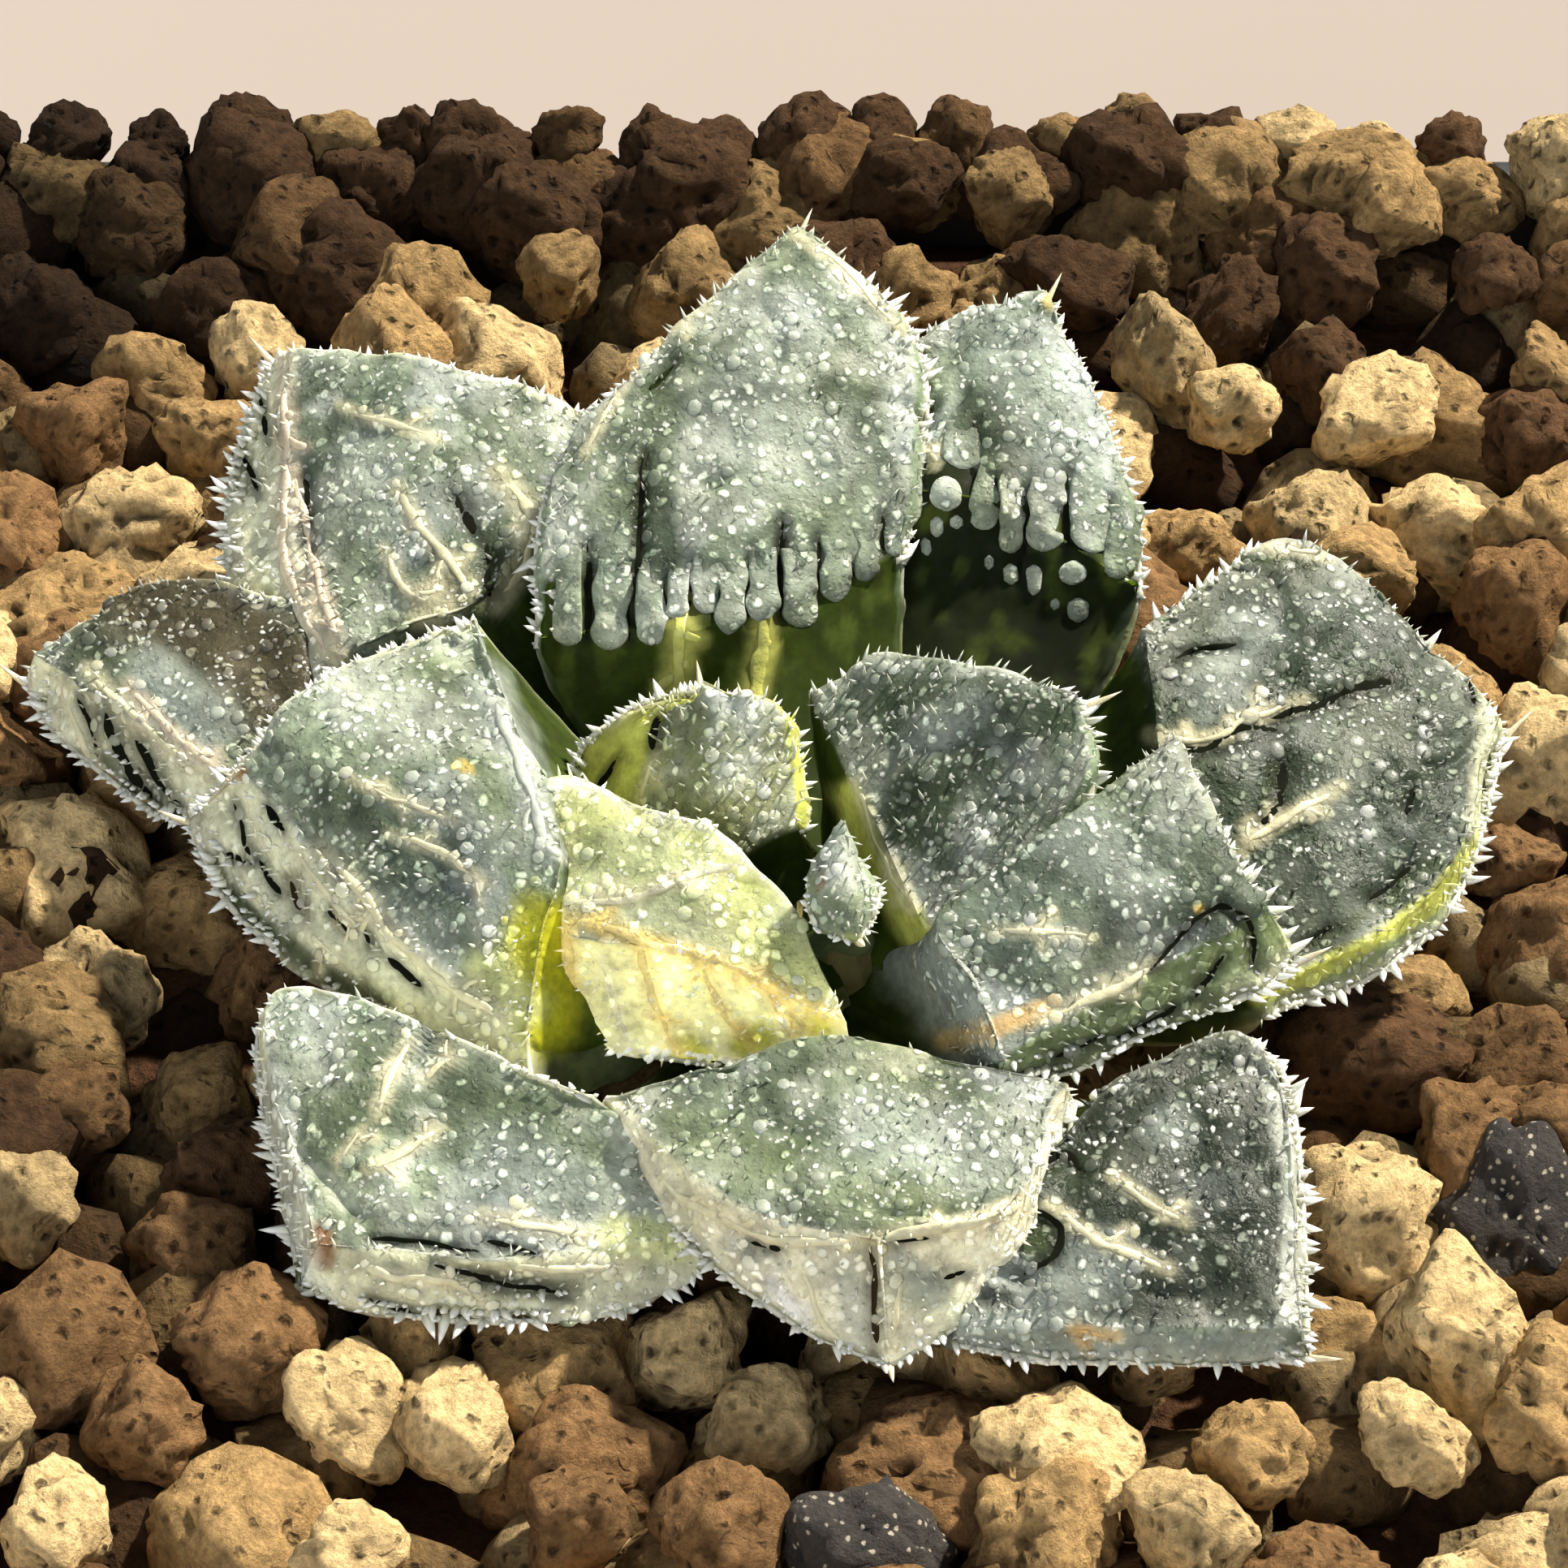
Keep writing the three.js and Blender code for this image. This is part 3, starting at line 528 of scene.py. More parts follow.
# The leaves, youngest first: corners of the end face as x, y from the pot's centre and z above the soil
# level, left and right as seen looking outwards, and the skirt's reach and drop on the left, at the tip and
# on the right
LEAVES = {
    "leaf_bud": dict(
        root=5.5, thick=1.6, crown=0.4, skirt=[[0.4, 0.8], [0.2, 0.5], [0.3, 0.6]],
        inner_left=[1.4, -3.6, 10], left=[1.8, -4.8, 10.1], tip=[1.4, -6.2, 9.6],
        right=[0.3, -5.4, 9.5], inner_right=[0, -3.8, 9.8], inner_mid=[0.9, -2.9, 11]),
    "leaf_inner_left": dict(
        root=4.6, thick=3, crown=1, skirt=[[3.2, 1.8], [0.4, 1], [0.3, 0.9]],
        inner_left=[-5.5, 1, 7], left=[-5, 3, 9.5], tip=[-3.5, 3.5, 11],
        right=[-1, 2.5, 10.5], inner_right=[-0.5, 0, 8], inner_mid=[-2.5, -1, 7.5]),
    "leaf_inner_front": dict(
        root=4.2, thick=3.4, crown=0.6, skirt=[[1.3, 4.2], [0.6, 4.2], [0.3, 0.9]],
        inner_left=[1, -7.5, 6.7], left=[-3.1, -6, 7.9], tip=[-7.7, -5.1, 8],
        right=[-8.3, 0, 9.5], inner_right=[-3.3, -2, 9.9], inner_mid=[-0.6, -4.2, 8.4]),
    "leaf_inner_right": dict(
        root=4, thick=4, crown=1, skirt=[[0.3, 0.9], [0.3, 0.9], [0.3, 0.9]],
        inner_left=[0, 4.5, 9.5], left=[3, 4.5, 11], tip=[8.5, 2, 12],
        right=[8.5, -0.5, 10], inner_right=[4, -5, 7], inner_mid=[2, -0.5, 8.5]),
    "leaf_right": dict(
        root=3.2, thick=5, crown=0.6, skirt=[[0.3, 0.9], [1, 2.4], [0.9, 2]],
        inner_left=[11.5, 0.5, 11], left=[13, -2, 9.5], tip=[14.5, -4, 8],
        right=[11, -6, 7.5], inner_right=[6, -9, 6.5], inner_mid=[4, -5, 9]),
    "leaf_left": dict(
        root=3, thick=6.5, crown=0.8, skirt=[[2.4, 2.8], [2, 3.2], [0.3, 0.9]],
        inner_left=[-9, -7.5, 6], left=[-15, -2, 7], tip=[-18.5, 2.5, 8],
        right=[-16, 5.5, 9.5], inner_right=[-11, 7.5, 10], inner_mid=[-8, -2.5, 9.5]),
    "leaf_back_right": dict(
        root=2.6, thick=6.5, crown=0.8, skirt=[[0.3, 0.9], [0.2, 0.8], [0.3, 0.9]],
        inner_left=[1, 14.5, 9.5], left=[4, 19.5, 12], tip=[8, 21, 12.5],
        right=[10.5, 15, 10], inner_right=[11, 11.5, 7.5], inner_mid=[6, 13, 10]),
    "leaf_front": dict(
        root=2.2, thick=4.5, crown=0.5, skirt=[[0.6, 2], [1.8, 3.9], [0.6, 2]],
        inner_left=[8, -9.5, 6], left=[6, -14.5, 6], tip=[2, -16, 6],
        right=[-2.5, -14.5, 6], inner_right=[-6.5, -10, 6], inner_mid=[0.5, -8.5, 7]),
    "leaf_back": dict(
        root=2.3, thick=6.5, crown=0.9, skirt=[[0.3, 0.9], [0.2, 0.8], [0.3, 0.9]],
        inner_left=[-9, 8, 8.5], left=[-8, 14, 12], tip=[-0.5, 22, 14.5],
        right=[3.5, 18, 13], inner_right=[3, 11.5, 9], inner_mid=[-3, 7.5, 9.5]),
    "leaf_far_right": dict(
        root=1.8, thick=5, crown=0.8, skirt=[[0.3, 0.9], [0.3, 1.2], [0.3, 1.6]],
        inner_left=[11, 9, 8], left=[16.5, 13.5, 8], tip=[23, 7.5, 5.5],
        right=[20.5, 0.5, 4.5], inner_right=[14.5, -4, 4], inner_mid=[11.5, 2.5, 7]),
    "leaf_back_left": dict(
        root=1.6, thick=6, crown=0.6, skirt=[[2.6, 2.4], [1.2, 1.4], [0.3, 0.9]],
        inner_left=[-15.5, 9.5, 6.5], left=[-18, 16.5, 7], tip=[-18, 22, 9],
        right=[-12, 20, 10], inner_right=[-7, 18.5, 9], inner_mid=[-11, 10, 8.5]),
    "leaf_front_right": dict(
        root=1.3, thick=3.4, crown=0.4, skirt=[[0.3, 0.9], [0.4, 1.2], [0.4, 1.2]],
        inner_left=[9, -9, 5], left=[14.5, -7.5, 5.5], tip=[15, -17, 3],
        right=[10, -17, 3], inner_right=[4.5, -17, 3], inner_mid=[6, -13.5, 5]),
    "leaf_front_left": dict(
        root=1.2, thick=3.6, crown=0.5, skirt=[[1.2, 2], [0.6, 2], [0.3, 0.9]],
        inner_left=[-3.5, -13.5, 3.5], left=[-9.5, -15, 4], tip=[-15.5, -14, 3.5],
        right=[-17, -5, 5.5], inner_right=[-7, -10, 6], inner_mid=[-4, -12, 5]),
    "leaf_far_left": dict(
        root=1.2, thick=4.5, crown=0.4, skirt=[[1.3, 2.6], [0.4, 1.6], [0.3, 0.9]],
        inner_left=[-19, 5, 4.5], left=[-24, 9.5, 4.5], tip=[-26.5, 12, 4],
        right=[-22.5, 14, 5.5], inner_right=[-17, 12.5, 6], inner_mid=[-17, 8.5, 5.5]),
}
CORNERS = ("inner_left", "left", "tip", "right", "inner_right", "inner_mid")

# Fineness of the skin over the end face, and along the body
FACE_STEP = 0.2
BODY_STEP = 0.4
# Noises that swell the skin and wave its margin: height and size in millimetres, and seed
SWELL = ((0.28, 2.8, 3), (0.13, 1.1, 5), (0.05, 0.5, 6))
RIM_WAVE = ((0.3, 1.5, 88), (0.16, 0.6, 89))
# How deep the wrinkles are, and the sizes of their noise
WRINKLE_DEPTH = 0.2
WRINKLE_SIZE = np.array([3.4, 3.4, 2.2])
# The skin's parts in their order round the leaf: top, right skirt, underside and left skirt
TOP, UNDER = 0, 2
SKIRTS = (1, 3)


class Leaf:
    """One leaf's form: curves of its end face, and rings of ten points from the stem to the tip."""

    def __init__(self, name):
        data = LEAVES[name]
        self.style = {**PLAIN_STYLE, **STYLES[name]}
        self.root, self.thick, self.crown, self.skirt = (data[k] for k in ("root", "thick", "crown", "skirt"))
        marks = [*self.style["marks"], *lobe_slits(self.style["lobes"], self.style["edge"])]
        self.marks = branched(marks, int(10 * self.root))
        place = {k: np.array(data[k], float) + SOIL * UP for k in CORNERS}
        inner = (place["inner_left"] + place["inner_right"]) / 2
        tip = place["tip"]
        self.normal = unit(np.cross(tip - place["inner_mid"], place["inner_left"] - place["inner_right"]))
        self.out = level(tip - inner)
        self.away = level(mix(inner, tip, 0.4) - STEM)
        middle = (place["left"] + place["right"]) / 2 + self.normal * self.crown
        self.edges = ([place["inner_left"], place["left"], tip], [place["inner_right"], place["right"], tip])
        self.middle = [place["inner_mid"], middle, tip]

    def margin(self, t, side):
        """Points of the toothed margin, with the direction that its teeth point in."""
        edge = through(self.edges[side], t)
        other = through(self.edges[1 - side], np.minimum(t, 0.9))
        turn = t[:, None] ** 3
        direction = level(mix(level(edge - other), self.out, turn))
        reach, drop = self.skirt[2 * side]
        tip_reach, tip_drop = self.skirt[1]
        opening = (0.5 + 0.5 * np.minimum(1, 4 * t))[:, None]
        to_tip = (t * t)[:, None]
        point = (edge + direction * opening * mix(reach, tip_reach, to_tip)
                 - UP * opening * mix(drop, tip_drop, to_tip))
        return point, direction

    def face_rings(self, t):
        left, left_way = self.margin(t, 0)
        right, right_way = self.margin(t, 1)
        left_edge, right_edge = through(self.edges[0], t), through(self.edges[1], t)
        mid = through(self.middle, t)
        lift = (0.25 * self.crown * (1 - t))[:, None] * self.normal
        depth = (self.thick * (1 - t) ** 0.7)[:, None]
        keel = (left + right) / 2 - self.normal * depth
        keel[:, 2] = np.maximum(keel[:, 2], SOIL + 0.4 + 1.5 * t)

        def under(margin, way):
            return (margin + keel) / 2 + way * 0.14 * depth - UP * 0.08 * depth

        return np.stack([left, left_edge, (left_edge + mid) / 2 + lift, mid, (right_edge + mid) / 2 + lift,
                         right_edge, right, under(right, right_way), keel, under(left, left_way)], 1)

    def base_ring(self):
        centre = STEM + self.away * 0.8 + UP * self.root
        left = np.cross(UP, self.away)
        narrow = min(1, self.thick / 3)
        places = [(1, 0), (0.8, 0.5), (0.4, 0.8), (0, 0.9), (-0.4, 0.8), (-0.8, 0.5), (-1, 0),
                  (-0.6, -0.7), (0, -1), (0.6, -0.7)]
        return np.array([centre + left * across * 2.6 * narrow + UP * rise * 1.1 for across, rise in places])

    def body_rings(self, t):
        base = self.base_ring()
        knee, after = self.face_rings(np.array([0.0, 0.2]))
        # Points 0 to 6 lie on top, with 3 in the middle, and the rest below
        span = np.linalg.norm(knee[3] - base[3])
        arrive = unit(after - knee)
        arrive[:7] = mix(UP, self.away, 0.25)
        part = t[:, None, None]
        return hermite(base, self.away * span, knee, arrive * span * 0.9, part)

    def build(self):
        """The fine skin, as rows from the stem to the tip and columns round the leaf."""
        fine = self.style["fine"]
        width = np.linalg.norm(np.diff([through(e, [0.4])[0] for e in self.edges], axis=0))
        length = np.linalg.norm(self.middle[2] - self.middle[0])
        span = np.linalg.norm(self.middle[0] - STEM)
        skirts = [max(3, round(np.hypot(*self.skirt[2 * side]) / fine)) for side in (0, 1)]
        top, under = (max(10, round(share * width / fine)) for share in (1.1, 0.35))
        counts = (top, skirts[1], under, skirts[0])
        body_t = smooth(-1.0, 1.0, np.linspace(0, 1, max(8, round(span / BODY_STEP)), endpoint=False)) * 2 - 1
        face_t = np.linspace(0, 0.99, max(8, round(length / fine)))
        rings = np.concatenate([self.body_rings(body_t), self.face_rings(face_t)])
        loops = ([1, 2, 3, 4, 5], [5, 6], [6, 7, 8, 9, 0], [0, 1])
        lines = rings.transpose(1, 0, 2)
        columns = [through(lines[loop], np.arange(n) / n) for loop, n in zip(loops, counts)]
        self.grid = np.concatenate(columns).transpose(1, 0, 2)
        rows = len(self.grid)
        self.kind = np.tile(np.repeat(np.arange(4), counts), rows)
        self.along = np.repeat(np.concatenate([body_t - 1, face_t]), sum(counts))
        across = np.concatenate([np.linspace(-1, 1, counts[0], endpoint=False), np.ones(counts[1]),
                                 np.zeros(counts[2]), -np.ones(counts[3])])
        down = np.concatenate([np.zeros(counts[0]), np.arange(counts[1]) / counts[1],
                               np.ones(counts[2]), 1 - np.arange(counts[3]) / counts[3]])
        self.across, self.down = np.tile(across, rows), np.tile(down, rows)
        # The two end points come last
        for name in ("kind", "along", "across", "down"):
            values = getattr(self, name)
            setattr(self, name, np.concatenate([values, [values[0], values[-1]]]))
        tip = self.margin(np.array([1.0]), 0)[0][0]
        points, tris = closed_tube(self.grid, STEM + UP * self.root, tip)
        self.tris = outward(points, tris)
        self.points = self.shape(points)
        self.way = normals(self.points, self.tris)
        self.seen = pixels(self.points)
        self.tree = BVHTree.FromPolygons([Vector(p) for p in self.points], [list(t) for t in self.tris])
        self.vertices = KDTree(len(self.points))
        for i, point in enumerate(self.points):
            self.vertices.insert(point, i)
        self.vertices.balance()

    def shape(self, points):
        """Uneven windows, wrinkled across, with a wavy margin."""
        way = normals(points, self.tris)
        on_face = smooth(-0.15, 0.1, self.along) * (self.kind != UNDER)
        fade = smooth(1.0, 0.9, self.along)
        wrinkle = -WRINKLE_DEPTH * (1 - smooth(0, 0.16, np.abs(noise(points / WRINKLE_SIZE, 17))))
        lumps = layered(points, SWELL) + wrinkle * smooth(0, 0.3, noise(points / 3.0, 29))
        lumps = lumps * (0.4 + 0.6 * on_face * fade) + self.carving(points, way)
        near_rim = np.where(self.kind == TOP, np.exp(-((1 - np.abs(self.across)) / 0.1) ** 2),
                            np.exp(-((1 - self.down) / 0.5) ** 2) * (self.kind != UNDER)) * fade
        middle = np.repeat(self.grid.mean(1), self.grid.shape[1], axis=0)
        sideways = np.concatenate([level(points[:-2] - middle), np.zeros((2, 3))])
        wave = layered(points, RIM_WAVE) * near_rim
        return points + way * lumps[:, None] + sideways * wave[:, None]

    def carving(self, points, way):
        """How far the skin rises along its veins and sinks along its slits."""
        seen = pixels(points)
        lift = np.zeros(len(points))
        for _, width, height, *line in self.marks:
            reach = max(0.8 * width, 1.5 * FACE_STEP) * PIXELS_PER_MM
            near = np.exp(-(line_distance(seen, line) / reach) ** 2)
            lift += near * (VEIN_RISE if height > FLAT else -SLIT_DEPTH)
        return lift * self.shown(way)

    def shown(self, way):
        """Where the skin faces the picture, so that lines of pixels hold for it."""
        return smooth(0.0, 0.25, -(way @ AHEAD)) * (self.kind != UNDER)

    def window_mask(self, drift=0.0, soft=1.0):
        """1 on the window and 0 on the smooth body below it."""
        if self.style["edge"]:
            height = np.interp(self.seen[:, 0], *np.transpose(self.style["edge"]))
            return smooth(-9 * soft, 9 * soft, height - self.seen[:, 1] + 8 * drift)
        start = self.style["spill"]
        return smooth(start - 0.1 * soft, start, self.along + 0.04 * drift)

    def window_tone(self, points):
        """The end face's grey-green, with clear, darker patches and clouded ones."""
        style = self.style
        drift = rough(points / 1.2, 9)[:, None]
        clear = smooth(-0.15, 0.25, rough(points / 2.2 + self.root, 21))[:, None] * style["clear"]
        cloud = smooth(0.0, 0.35, rough(points / 1.7 + self.root, 33))[:, None] * style["cloud"]
        tone = mix(style["window"], style["clear_tone"], clear)
        hue = 1 + noise(points / 3.1, 47)[:, None] * HUE_DRIFT
        return mix(tone, PAPILLA, 0.7 * cloud) * (1 + 0.3 * drift) * hue * WINDOW_DEPTH * style["dim"]

    def paint(self):
        """The skin's colour and frosting at each vertex."""
        style = self.style
        drift = rough(self.points / 1.3, 9)[:, None]
        edge = np.exp(-((1 - np.abs(self.across)) / 0.16)) + np.exp(-((1 - self.along) / 0.12))
        edge = np.clip(edge, 0, 1)[:, None] * smooth(-0.6, 0.3, drift)
        top = mix(self.window_tone(self.points), PAPILLA * style["dim"], 0.65 * edge)
        side = style["side"] * (1 + 0.35 * drift)
        under = mix(UNDER_SIDE, UNDER_SIDE * 0.5, smooth(-0.3, 0.5, drift))
        streak = smooth(0.1, 0.6, noise(self.points * np.array([1.6, 1.6, 0.25]), 41))[:, None]
        inner = mix(style["inner"], INNER_STREAK, 0.5 * streak)
        face = self.window_mask(drift[:, 0])[:, None]
        upper = mix(inner, top, face)
        skirts = mix(mix(inner, side, 0.1), side, smooth(-0.2, 0.05, self.along)[:, None])
        kind = self.kind[:, None]
        colour = np.where(kind == TOP, upper, np.where(kind == UNDER, under, skirts))
        rim = np.exp(-((self.down - 0.9) / 0.25) ** 2) * np.isin(self.kind, SKIRTS)
        rim = rim * smooth(-0.3, 0.1, self.along)
        colour = mix(colour, MARGIN, 0.5 * rim[:, None])
        for tone, reach, strength, *line in style["patches"]:
            near = smooth(reach, reach * 0.3, line_distance(self.seen, line) * (1 + 0.35 * drift[:, 0]))
            colour = mix(colour, tone, (strength * near * (self.kind != UNDER))[:, None])
        shown = self.shown(self.way)
        for tone, width, height, *line in self.marks:
            far = line_distance(self.seen, line) / (max(width, FACE_STEP) * PIXELS_PER_MM)
            faint = 0.5 if height > FLAT else 0.65
            colour = mix(colour, tone, (faint * smooth(1.7, 0.4, far) * shown)[:, None])
        frost = np.where(self.kind == TOP, face[:, 0], np.where(self.kind == UNDER, 0.15, 0.6 * face[:, 0]))
        if style["bare"]:
            centre, reach = style["bare"]
            frost = frost * smooth(reach - 8, reach + 8, line_distance(self.seen, [centre]))
        self.colour, self.frost = colour, frost


def branched(marks, seed):
    """The marks with short side veins that leave each pale vein."""
    grown = list(marks)
    for k, (tone, width, height, *line) in enumerate(marks):
        if height <= FLAT:
            continue
        line = np.array(line, float)
        for j in range(int(run_along(line)[-1] / 48)):
            number = seed * 31 + k * 7 + j
            t = 0.1 + 0.8 * drawn(number, 1)
            start, after = through(line, [t, min(1, t + 0.03)])
            run = unit(after - start)
            turn = math.copysign(0.5 + 0.7 * drawn(number, 2), spread(number, 3))
            run = np.array([run[0] * math.cos(turn) - run[1] * math.sin(turn),
                            run[0] * math.sin(turn) + run[1] * math.cos(turn)])
            reach = 12 + 22 * drawn(number, 4)
            bend = np.array([-run[1], run[0]]) * 6 * spread(number, 5)
            middle, end = start + run * reach / 2 + bend, start + run * reach
            grown.append((tone, 0.6 * width, 0.7 * height, start, middle, end))
    return grown


def line_distance(points, line):
    """Distance in pixels from each point to a line of pixels."""
    line = np.array(line, float)
    if len(line) == 1:
        return np.linalg.norm(points - line[0], axis=-1)
    best = np.full(len(points), 1e9)
    for start, end in zip(line[:-1], line[1:]):
        run = end - start
        part = np.clip((points - start) @ run / max(run @ run, 1e-9), 0, 1)
        best = np.minimum(best, np.linalg.norm(points - start - part[:, None] * run, axis=-1))
    return best


# A mark lower than FLAT is a slit. Veins rise from the skin and slits are cut into it.
FLAT = 0.06
VEIN_RISE = 0.05
SLIT_DEPTH = 0.2

# What a leaf has unless its own style says otherwise
PLAIN_STYLE = dict(
    window=WINDOW, clear_tone=DARK_WINDOW, side=WINDOW, inner=INNER_SIDE, dim=1.0, clear=0.55, cloud=0.5,
    spill=0.0, fine=FACE_STEP, pearl=1.0, spiny=False, painted_glow=False, bare=None, edge=(), lobes=(), patches=(),
    marks=())

